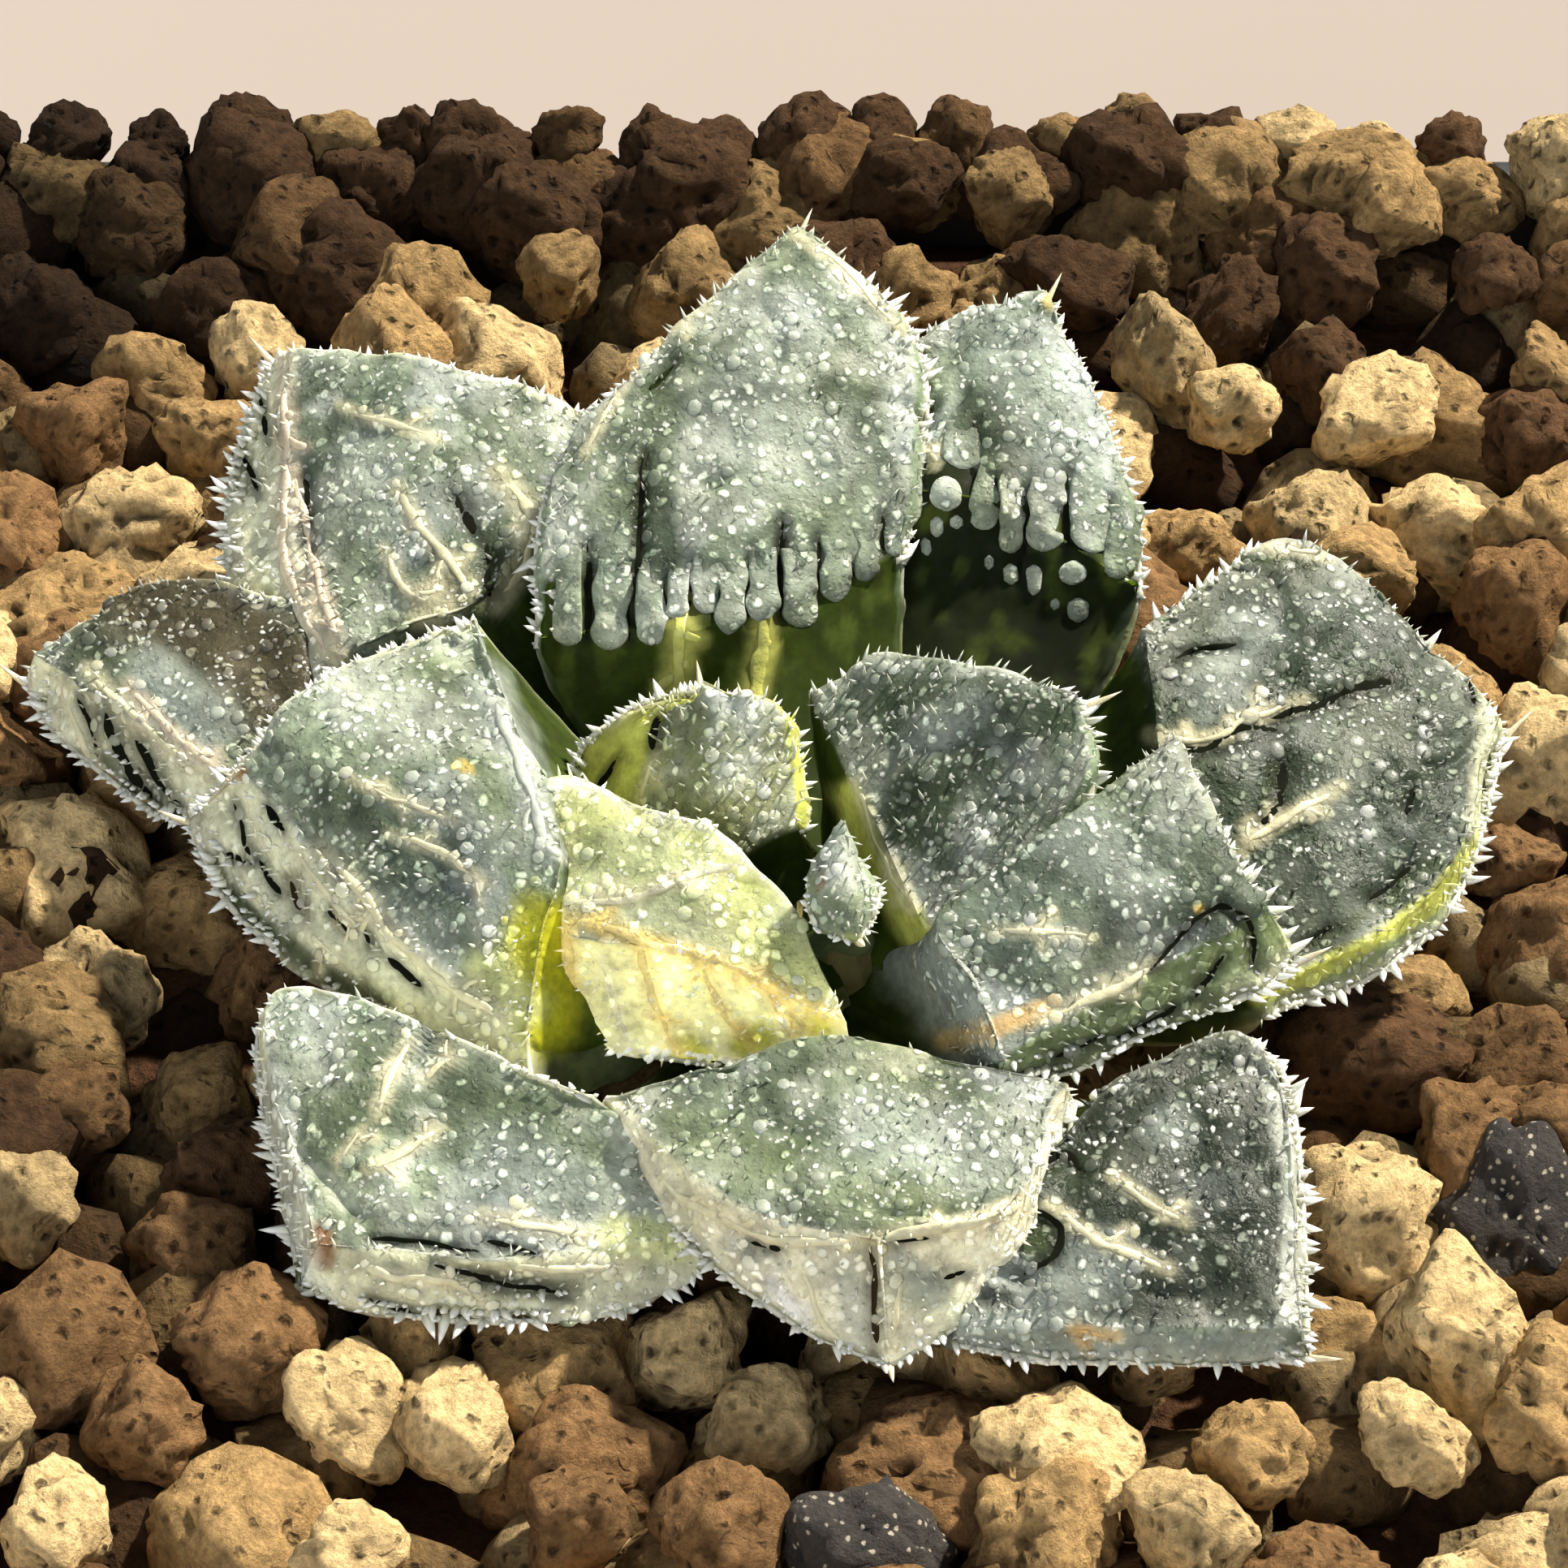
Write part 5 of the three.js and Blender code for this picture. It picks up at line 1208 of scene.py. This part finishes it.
def trace(leaf, line, number, stray):
    """Places on the leaf under a line of pixels that strays a little, with the directions out of the skin."""
    line = np.array(line, float)
    run = run_along(line)
    count = max(5, int(run[-1] / 4))
    want = np.linspace(0, run[-1], count)
    path = through(line, np.interp(want, run, np.linspace(0, 1, len(line))))
    for axis in (0, 1):
        path[:, axis] += stray * noise(np.stack([want / 26, want * 0 + number, want * 0 + 9 * axis], -1), 7)
    places, ways = [], []
    for pixel in path:
        place, way, _, _ = leaf.tree.ray_cast(Vector(EYE), Vector(sight(pixel)))
        if place is None or (places and (place - places[-1]).length > LARGEST_JUMP):
            if len(places) > 4:
                break
            places, ways = [], []
        if place is not None:
            places.append(place)
            ways.append(way)
    if len(places) < 4:
        return None
    places, ways = np.array(places), np.array(ways)
    for values in 3 * (places, ways):
        values[1:-1] = (values[:-2] + 2 * values[1:-1] + values[2:]) / 4
    return places, unit(ways)


def lay_marks(leaf, parts, number):
    """Veins, ridges and dark slits."""
    for k, (tone, width, height, *line) in enumerate(leaf.marks):
        laid = trace(leaf, line, number * 20 + k, 3)
        if laid is None:
            continue
        places, ways = laid
        taper = np.sqrt(np.clip(1 - np.abs(np.linspace(-1, 1, len(places))) ** 3, 0.02, 1))
        uneven = 1 + 0.5 * noise(places / 0.9, 71 + k) + 0.35 * noise(places / 0.35, 72 + k)
        slit = height <= FLAT
        if not slit:
            places = places - ways * 0.1 * (1 - taper)[:, None]
        points, tris = tube_along(places, ways, 0.5 * width * taper * uneven, 0.6 * height / width, 0.6)
        if slit:
            parts.add(points, tris, tone * 0.5, CUT)
        else:
            part = 0.4 + 0.4 * noise(points / 0.8, 73)[:, None]
            nearest = [leaf.vertices.find(Vector(p))[1] for p in points]
            tone = mix(tone, leaf.colour[nearest], np.clip(part, 0, 0.7))
            parts.add(points, tris, tone, PAINTED_GLOW_LOOK if leaf.style["painted_glow"] else DETAIL)


def lay_lobes(leaf, parts, number):
    """The lobes that the window ends in, and the drops that stand apart below it."""
    for k, (width, *line) in enumerate(leaf.style["lobes"]):
        line = np.array(line, float)
        edge = np.interp(line[0, 0], *np.transpose(leaf.style["edge"]))
        apart = line[0, 1] > edge + DROP_GAP
        if apart:
            line[[0, -1], 1] += np.array([-0.4, 0.4]) * width * PIXELS_PER_MM
        else:
            line[0, 1] = max(line[0, 1], min(edge, line[-1, 1]) - LOBE_REACH)
        laid = trace(leaf, [line[0], line[-1]], number * 20 + k, 2)
        if laid is None:
            continue
        places, ways = laid
        rise = 1.0 if apart else smooth(0, 0.6, np.linspace(0, 1, len(places)))[:, None]
        places = places - ways * 0.14 * (1 - rise)
        run = run_along(places)
        to_end = np.clip((run[-1] - run) / (width / 2), 0.02, 1)
        # A drop is round at both ends
        if apart:
            to_end = np.minimum(to_end, np.clip(run / (width / 2), 0.02, 1))
        radius = 0.56 * width * np.sqrt(1 - (1 - to_end) ** 2) * (1 + 0.3 * noise(places / 0.7, 81 + k))
        points, tris = tube_along(places, ways, radius, 0.4 if apart else 0.14, 0.4)
        pale = 0.08 + 0.16 * drawn(k, number) + 0.2 * apart
        parts.add(points, tris, mix(leaf.window_tone(points), PAPILLA, pale), LOBE)


def lobe_slits(lobes, edge):
    """Dark slits that run up between neighbouring lobes."""
    ends = np.array([line[-1] for _, *line in lobes], float)
    found = []
    for k, (first, second) in enumerate(zip(ends, ends[1:])):
        if not 20 < second[0] - first[0] < 64 or abs(second[1] - first[1]) > 60:
            continue
        x = (first[0] + second[0]) / 2
        low = min(first[1], second[1]) - 6
        high = min(np.interp(x, *np.transpose(edge)), low) - 8 - 70 * drawn(k, 6) ** 2
        found.append((SLIT, 0.12 + 0.14 * drawn(k, 7), FLAT / 2, (x + 3 * spread(k, 8), high), (x, low)))
    return found


def make_leaf(name, number, skins, details):
    leaf = Leaf(name)
    leaf.build()
    leaf.paint()
    body = Parts()
    # The folds below the margins get the skin with a painted glow, for light coming through them
    in_fold = np.any(np.isin(leaf.kind[leaf.tris], SKIRTS), axis=1)
    in_fold &= np.all(leaf.along[leaf.tris] > -0.05, axis=1)
    body.add(leaf.points, leaf.tris, leaf.colour, in_fold & (len(skins) > 1), leaf.frost)
    slot = next(s["material_slot"] for s in frame["record"]["subparts"] if s["node"] == name)
    body.piece(name + "_skin", skins, slot, name)
    # What stands on the skin is a piece of its own, so that light spreads freely inside the leaf
    fringe = Parts()
    scatter_pearls(leaf, fringe, number)
    scatter_teeth(leaf, fringe, number)
    lay_marks(leaf, fringe, number)
    lay_lobes(leaf, fringe, number)
    fringe.piece(name + "_fringe", [*details, skins[-1]], slot)
    return leaf


# Grains

# Spacing and radius of the grains, the radius in the lower layer, and the pot's inside at their level
GRAIN_PITCH = 4.8
GRAIN_RADIUS = 2.5
LOW_GRAIN_RADIUS = 2.4
INNER_HALF = 42.8
INNER_CORNER = 10.0
# Spacing of the rows in parts of that of the grains
ROW_PITCH = 0.87
# How far out the leaves hold the grains down, and how far a grain may press into a leaf
LEAVES_REACH = 32
LEAF_PRESS = 0.15
GRAIN_TONES = {
    "grains_pale": linear(240, 208, 150), "grains_tan": linear(200, 164, 110),
    "grains_brown": linear(150, 115, 76), "grains_umber": linear(108, 80, 54)}
DARK_TONE = linear(52, 47, 42)
# Draws below these numbers make a grain pale, tan or brown
TONE_LIMITS = (0.38, 0.68, 0.92)
# A grain's mean length, width and height, and how far each strays
GRAIN_STRETCH = ((1, 0.24), (1, 0.18), (0.86, 0.14))
# Where dark, speckled grains lie
DARK_GRAINS = ((22.8, -10.5), (0.2, -22.8))
# Rows heaped against the rim: spacing, distance from it, height above the soil and radius
RIM_ROWS = ((4.1, 1.9, 0.8, 2.5), (3.1, 0.5, 1.7, 1.6))
# Two more that lie in a gap behind the plant: x, y, height above the soil and radius
GAP_GRAINS = ((3.4, 35.4, -0.4, 2.4), (6.3, 34.2, -1.2, 2.1))
# Fineness of a grain near the plant, of one further off, of a dark one and of one in the lower layer
NEAR_FINE, FAR_FINE, DARK_FINE, LOW_FINE = 10, 6, 11, 3
# How far round its middle a grain looks for a leaf above it, in parts of its radius
UNDER_LEAF = ((0, 0), (0.7, 0), (-0.7, 0), (0, 0.7), (0, -0.7), (0.5, 0.5), (-0.5, 0.5), (0.5, -0.5),
              (-0.5, -0.5))


def ball(divisions):
    """A ball made of six square sheets."""
    t = np.tan(np.linspace(-1, 1, divisions + 1) * math.pi / 4)
    u, v = lattice(t, t)
    i, j = lattice(range(divisions), range(divisions))
    corner = i * (divisions + 1) + j
    across = corner + divisions + 1
    square = np.stack([corner, corner + 1, across + 1, corner, across + 1, across], -1).reshape(-1, 3)
    sheets, faces = [], []
    for axis, sign in itertools.product(range(3), (1, -1)):
        sheet = np.insert(np.stack([u, v * sign], -1), axis, sign, axis=1)
        faces.append((square if axis != 1 else square[:, ::-1]) + len(sheets) * len(u))
        sheets.append(unit(sheet))
    points, index = np.unique(np.round(np.concatenate(sheets), 6), axis=0, return_inverse=True)
    return points, outward(points, index.ravel()[np.concatenate(faces)])


def turns(index, seed):
    """A random turn for each grain, as matrices."""
    found = []
    for angles in zip(*(6.28 * drawn(index, seed + k) for k in range(3))):
        about_z, about_x, about_y = (Matrix.Rotation(a, 3, axis) for a, axis in zip(angles, "ZXY"))
        found.append(np.array(about_z @ about_x @ about_y))
    return np.array(found)


def grain_shapes(index, radius, divisions):
    """Angular, crumbly lumps: a ball cut by planes, with knobs and pits. Also how deep each point lies."""
    directions, tris = ball(divisions)
    away = np.full((len(index), len(directions)), 9.0)
    for k in range(9):
        plane = unit(np.stack([spread(index, 60 + 3 * k + a) for a in range(3)], -1))
        height = 0.66 + 0.3 * drawn(index, 100 + k)
        away = np.minimum(away, height[:, None] / np.maximum(plane @ directions.T, 0.05))
    away = np.minimum(away, 1.08)
    where = directions[None] + (index * 7.31)[:, None, None]
    lumps = 0.15 * noise(where * 1.9, 1) + 0.1 * noise(where * 3.9, 2)
    if divisions > FAR_FINE:
        lumps += 0.055 * noise(where * 7.9, 3) - 0.05 * np.abs(noise(where * 5.3, 5))
    pit = smooth(0.4, 0.1, spots(where * 3.3, 4)) * (0.5 + 0.5 * drawn(index, 44))[:, None]
    shapes = directions[None] * (mix(1.0, away, 0.88) * (1 + lumps) - 0.15 * pit)[..., None]
    stretch = [size + part * spread(index, 71 + k) for k, (size, part) in enumerate(GRAIN_STRETCH)]
    shapes = np.einsum("nvk,nkj->nvj", shapes * np.stack(stretch, -1)[:, None], turns(index, 80))
    crevice = np.clip(pit - 2.4 * np.minimum(lumps + 0.03, 0), 0, 1)
    return shapes * radius[:, None, None], tris, crevice


def inside(x, y, room):
    """Whether a point lies within the pot's rounded square, less some room."""
    half, corner = INNER_HALF - room, np.maximum(INNER_CORNER - room, 0.5)
    over = np.hypot(np.maximum(np.abs(x) - half + corner, 0), np.maximum(np.abs(y) - half + corner, 0))
    return over <= corner


def lay_grains(pitch, seed, shift, size, uneven, room):
    """One layer of grains in staggered rows: their numbers, x, y and radii. Room is the least distance from
    the pot's wall, in radii."""
    rows = int(2 * INNER_HALF / (pitch * ROW_PITCH)) + 1
    columns = int(2 * INNER_HALF / pitch) + 1
    row, column = lattice(range(rows + 1), range(columns + 1))
    index = row * 83 + column + seed * 5003
    x = (column + 0.5 * (row % 2) - 0.25 + 0.27 * spread(index, 1) - columns / 2) * pitch + shift[0]
    y = (row + 0.3 * spread(index, 2) - rows / 2) * pitch * ROW_PITCH + shift[1]
    radius = size * (1 + uneven * spread(index, 6))
    keep = inside(x, y, radius * room)
    return index[keep], x[keep], y[keep], radius[keep]


def rim_grains():
    """Rows of grains heaped against the rim on each side, so that it shows no gap: x, y, z and radius."""
    reach = INNER_HALF - INNER_CORNER + 3
    found = []
    for pitch, in_from_rim, high, size in RIM_ROWS:
        count = int(2 * reach / pitch)
        k = np.arange(count)
        for side in range(4):
            number = k + 40 * side + 200 * int(pitch)
            along = (k + 0.5 - count / 2) * pitch + 0.5 * spread(number, 3)
            out = INNER_HALF - in_from_rim + 0.3 * spread(number, 4)
            turn = side * math.pi / 2
            found.append(np.stack([
                along * math.cos(turn) - out * math.sin(turn), along * math.sin(turn) + out * math.cos(turn),
                SOIL + high + 0.35 * spread(number, 5), size * (1 + 0.16 * spread(number, 6))]))
    found.append(np.transpose(GAP_GRAINS) + [[0], [0], [SOIL], [0]])
    return np.concatenate(found, 1)


def nest(x, y):
    """How much lower the grains lie under the rosette."""
    from_plant = np.hypot((x + 1) / 1.25, y - 2)
    return 2.3 * (1 - smooth(13, 20, from_plant))


def leaf_floor(leaves, x, y, reach):
    """The lowest height of a leaf's underside over a grain."""
    lowest = 999.0
    for dx, dy in UNDER_LEAF:
        start = Vector((x + dx * reach, y + dy * reach, SOIL - 20))
        for leaf in leaves:
            place, _, _, _ = leaf.tree.ray_cast(start, Vector(UP))
            if place is not None:
                lowest = min(lowest, place.z)
    return lowest


def back_shadow(x, y):
    """Painted shadow over the grains at the back, reaching further in at its two ends."""
    left, right = smooth(18, 26, -x), smooth(2, 14, x)
    middle = np.exp(-((x - 2) / 7) ** 2)
    strength = 1 - 0.6 * smooth(12, 20, x) - 0.3 * middle + 0.55 * left
    return smooth(32.5, 37, y + 4.5 * right + 5 * left) * strength


def shadiness(x, y):
    """Painted shadow on the grains left of the plant, and a darker patch right of it."""
    left = smooth(16, 22, -x) * smooth(11, 5, np.abs(y + 5))
    right = smooth(19, 24, x) * smooth(9, 5, np.abs(y + 3))
    return left + 0.5 * right


def paler_patches(x, y):
    """Patches of paler grains behind the plant and at the front right."""
    behind = smooth(9, 5, np.hypot(x + 6, 0.8 * (y - 27)))
    return np.maximum(behind, smooth(13, 19, x) * smooth(-12, -16, y))


def add_grains(parts, tone, layer, chosen, divisions, dim=1.0):
    """The chosen grains of a layer in one tone, with painted shade in their crevices, painted shadow at the
    back and beside the plant, and dimmed by dim.
    """
    index, x, y, z, radius = (values[chosen] for values in layer)
    shapes, tris, crevice = grain_shapes(index, radius, divisions)
    shapes = shapes + np.stack([x, y, z], -1)[:, None]
    shadow_dim = (1 - 0.5 * back_shadow(x, y)) * (1 - 0.4 * shadiness(x, y))
    # Darker in the crevices as painted shade
    shade = ((0.84 + 0.3 * drawn(index, 35)) * shadow_dim)[:, None] * (1 - 0.85 * crevice) * dim
    faces = tris[None] + shapes.shape[1] * np.arange(len(shapes))[:, None, None]
    parts.add(shapes.reshape(-1, 3), faces.reshape(-1, 3), shade.reshape(-1, 1) * tone)


def make_grains(leaves, material, dark_material):
    index, x, y, radius = lay_grains(GRAIN_PITCH, 1, (0, 0), GRAIN_RADIUS, 0.28, 0.8)
    edge = smooth(30, 40, np.maximum(np.abs(x), np.abs(y)))
    z = SOIL + 1.3 + 1.1 * spread(index, 7) - nest(x, y) + 1.0 * edge - radius * 0.8
    rim = rim_grains()
    index = np.concatenate([index, 20011 + np.arange(rim.shape[1])])
    x, y, z, radius = np.concatenate([[x, y, z, radius], rim], 1)
    for i in range(len(index)):
        if math.hypot(x[i], y[i] - 3) < LEAVES_REACH:
            lowest = leaf_floor(leaves, x[i], y[i], radius[i])
            z[i] = min(z[i], lowest + LEAF_PRESS - radius[i] * 0.8)
    top = (index, x, y, z, radius)

    # Grains under the painted shadows take darker tones, and those in the paler patches lighter ones
    choice = drawn(index, 31) + 0.4 * back_shadow(x, y) + 0.2 * shadiness(x, y) - 0.3 * paler_patches(x, y)
    tone_number = np.searchsorted(TONE_LIMITS, choice, side="right")
    near = (np.abs(x + 0.9) < 30) & (y > -26) & (np.hypot((x + 1) / 1.2, y - 3) > 12)
    out_of_sight = (y < -28) | (np.abs(x) > 30)
    is_dark = out_of_sight & (drawn(index, 33) < 0.03)
    for dark_x, dark_y in DARK_GRAINS:
        is_dark[np.argmin(np.hypot(x - dark_x, y - dark_y))] = True

    # The lower layer fills the gaps, darkened as painted shade
    low_shift = (GRAIN_PITCH / 2, GRAIN_PITCH * 0.3)
    index, x, y, radius = lay_grains(GRAIN_PITCH * 0.96, 2, low_shift, LOW_GRAIN_RADIUS, 0.2, 0.9)
    low = (index, x, y, SOIL - 2.6 + 0.5 * spread(index, 7) - nest(x, y), radius)
    low_tone_number = (drawn(index, 31) * 4).astype(int)

    for k, (name, tone) in enumerate(GRAIN_TONES.items()):
        parts = Parts()
        mine = ~is_dark & (tone_number == k)
        add_grains(parts, tone, top, mine & near, NEAR_FINE)
        add_grains(parts, tone, top, mine & ~near, FAR_FINE)
        add_grains(parts, tone, low, low_tone_number == k, LOW_FINE, 0.42)
        parts.piece(name, [material], "grain_mix")
    dark = Parts()
    add_grains(dark, DARK_TONE, top, is_dark, DARK_FINE)
    dark.piece("grains_dark", [dark_material], "grain_mix")


# The pot

# The outer half width and corner of the foot, how much both grow up to the rim band, the band's half width
# and corner, and the heights of its lower and upper edge
FOOT_HALF = 33.0
FOOT_CORNER = 8.0
WALL_LEAN = 10.2
CORNER_GROWTH = 3
RIM_HALF = 45.0
RIM_CORNER = 12.8
RIM_LOW = 70.0
RIM_TOP = 78.0
# The wall, the floor, the recess under the floor, rounded edges and the mix's distance from the outer wall
WALL = 1.2
POT_FLOOR = 2.8
RECESS = 1.2
EDGE = 0.7
BED_IN = 1.5
BED_LOW = 3.1
BED_HIGH = SOIL - 3.4
# Drainage holes: their radius, distance from the middle and directions
HOLE_RADIUS = 3.9
HOLE_OUT = 18.0
HOLES = ((1, 1), (-1, 1), (-1, -1), (1, -1), (1.1, 0), (-1.1, 0), (0, 1.1), (0, -1.1))


def square_ring(half, corner, z, steps=10):
    angle = (np.arange(4)[:, None] + np.arange(steps + 1)[None] / steps).ravel() * math.pi / 2
    quarter = np.repeat(np.arange(4), steps + 1)
    side_x = np.where((quarter == 0) | (quarter == 3), 1, -1)
    side_y = np.where(quarter < 2, 1, -1)
    return np.stack([side_x * (half - corner) + corner * np.cos(angle),
                     side_y * (half - corner) + corner * np.sin(angle), np.full(len(angle), z)], -1)


def wall_ring(z, inwards=0.0):
    """A ring on the tapered wall, or inside it."""
    half = FOOT_HALF + WALL_LEAN * z / RIM_LOW
    corner = FOOT_CORNER + CORNER_GROWTH * z / RIM_LOW
    return square_ring(half - inwards, corner - inwards, z)


def make_bed(material):
    """The closed block of packed mix below the grains, which fills the pot. Its dark tone is painted shade
    for the gaps between the grains.
    """
    rings = [wall_ring(z, BED_IN) for z in np.linspace(BED_LOW, BED_HIGH, 12)]
    rings += [wall_ring(BED_HIGH, BED_IN) * [shrink, shrink, 1] for shrink in np.linspace(0.97, 0.03, 40)]
    points, tris = closed_tube(np.array(rings), np.array([0, 0, BED_LOW]), np.array([0, 0, BED_HIGH]))
    on_top = points[:, 2] > BED_HIGH - 0.01
    points[:, 2] += on_top * (0.7 * noise(points / 2.2, 5) - 0.6 * nest(points[:, 0], points[:, 1]))
    parts = Parts()
    parts.add(points, outward(points, tris), linear(78, 54, 36))
    parts.piece("bed", [material], "grain_mix", "soil")


def fillet(half, corner, z, start, end, steps=4):
    """Rings round an edge, turning from one angle to another in degrees."""
    rings = []
    for k in range(steps + 1):
        a = math.radians(start + (end - start) * k / steps)
        inset = EDGE * (1 - math.cos(a))
        rings.append(square_ring(half - inset, corner - inset, z + EDGE * math.sin(a)))
    return rings


def make_pot(material):
    """Foot ring and centre pad, tapered walls, a rolled rim band, and drainage holes in the floor."""
    under = [(2, 1, 0), (4, 2, 0), (6, 3, 0), (7.8, 3.8, 0), (8, 4, 0.15), (8.6, 4.6, RECESS - 0.1),
             (8.8, 4.8, RECESS), (20, 5, RECESS), (29.6, 5, RECESS), (29.8, 4.8, RECESS - 0.15),
             (30.4, 5.5, 0.1), (30.6, 5.6, 0)]
    rings = [square_ring(*values) for values in under]
    rings += fillet(FOOT_HALF, FOOT_CORNER, EDGE, -90, 0)
    rings += [wall_ring(z) for z in (2, 14, 26, 38, 50, 62, 69.3)]
    rings += [square_ring(43.3, 11.1, RIM_LOW)]
    rings += fillet(RIM_HALF, RIM_CORNER, RIM_LOW + EDGE, -90, 0)
    rings += [square_ring(RIM_HALF, RIM_CORNER, z) for z in (72.5, 75)]
    rings += fillet(RIM_HALF, RIM_CORNER, RIM_TOP - EDGE, 0, 90)
    rings += [wall_ring(RIM_TOP, WALL - 0.3), wall_ring(RIM_TOP - 0.3, WALL)]
    rings += [wall_ring(z, WALL) for z in (60, 40, 20, 3.4, POT_FLOOR)]
    rings += [square_ring(half, 4.0, POT_FLOOR) for half in (26, 12)]
    points, tris = closed_tube(np.array(rings), np.array([0.0, 0, 0]), np.array([0, 0, POT_FLOOR]))
    parts = Parts()
    parts.add(points, outward(points, tris), linear(44, 45, 47))
    pot = parts.piece("pot_body", [material], "pot", "pot")
    cutter = bmesh.new()
    for a, b in HOLES:
        where = Matrix.Translation((a * HOLE_OUT * MM, b * HOLE_OUT * MM, 2.0 * MM))
        bmesh.ops.create_cone(cutter, cap_ends=True, segments=28, radius1=HOLE_RADIUS * MM,
                              radius2=HOLE_RADIUS * MM, depth=6 * MM, matrix=where)
    drill_mesh = bpy.data.meshes.new("drill")
    cutter.to_mesh(drill_mesh)
    cutter.free()
    drill = bpy.data.objects.new("drill", drill_mesh)
    bpy.context.scene.collection.objects.link(drill)
    cut = pot.modifiers.new("holes", "BOOLEAN")
    cut.object, cut.operation, cut.solver = drill, "DIFFERENCE", "EXACT"
    bpy.context.view_layer.update()
    shaped = bpy.data.meshes.new_from_object(pot.evaluated_get(bpy.context.evaluated_depsgraph_get()))
    pot.modifiers.clear()
    pot.data = shaped
    bpy.data.objects.remove(drill)
    shaped.shade_smooth()
    shaped.set_sharp_from_angle(angle=math.radians(35))


# The whole

skin, detail, slit = leaf_skin_material("leaf_skin", 1.0), leaf_detail_material(), leaf_slit_material()
lobe = leaf_skin_material("leaf_lobe", 0.3)
# The second clear skin has a painted glow for light coming through the leaf
clear_skins = [leaf_skin_material("leaf_skin_clear", 4.0), leaf_skin_material("leaf_skin_painted_glow", 4.0, 0.42)]
leaves = [make_leaf(name, number, clear_skins if STYLES[name].get("painted_glow") else [skin], (detail, lobe, slit))
          for number, name in enumerate(LEAVES)]
make_grains(leaves, grain_material(), dark_grain_material())
make_bed(bed_material())
make_pot(pot_material())

stem = frame["nodes"]["stem_and_roots"]
stem.data.materials.clear()
stem.data.materials.append(stem_material())

# Floor, light and camera, in metres

SKY_COLOUR = (0.86, 0.92, 1.0, 1.0)
SKY_STRENGTH = 0.36
KEY_AT, KEY_STRENGTH, KEY_COLOUR, KEY_ANGLE = (0.5, 0.46, 0.74), 8.4, (1.0, 0.93, 0.82), 3
FILL_AT, FILL_POWER, FILL_COLOUR, FILL_SIZE = (-0.2, -0.75, 0.4), 4.0, (0.96, 0.98, 1.0), 0.6

bpy.ops.mesh.primitive_plane_add(size=4.0, location=(0, 0, 0))
floor = bpy.context.object
floor.name = "floor"
floor.data.materials.append(floor_material())

world = bpy.data.worlds.new("studio")
bpy.context.scene.world = world
world.use_nodes = True
sky = world.node_tree.nodes["Background"]
sky.inputs["Color"].default_value = SKY_COLOUR
sky.inputs["Strength"].default_value = SKY_STRENGTH


def lamp(name, kind, place, energy, colour):
    """A lamp that points at the soil's middle."""
    data = bpy.data.lights.new(name, kind)
    data.energy = energy
    data.color = colour
    made = bpy.data.objects.new(name, data)
    made.location = place
    made.rotation_euler = (Vector((0, 0, SOIL * MM)) - Vector(place)).to_track_quat("-Z", "Y").to_euler()
    bpy.context.scene.collection.objects.link(made)
    return data


lamp("key", "SUN", KEY_AT, KEY_STRENGTH, KEY_COLOUR).angle = math.radians(KEY_ANGLE)
lamp("fill", "AREA", FILL_AT, FILL_POWER, FILL_COLOUR).size = FILL_SIZE

camera_data = bpy.data.cameras.new("camera")
camera_data.sensor_width = SENSOR
camera_data.lens = SENSOR * DISTANCE * PIXELS_PER_MM / PICTURE
camera_data.clip_start = 0.01
camera = bpy.data.objects.new("camera", camera_data)
camera.location = EYE * MM
camera.rotation_euler = (math.pi / 2 - TILT, 0, 0)
bpy.context.scene.collection.objects.link(camera)
bpy.context.scene.camera = camera
bpy.context.scene.view_settings.view_transform = "Standard"
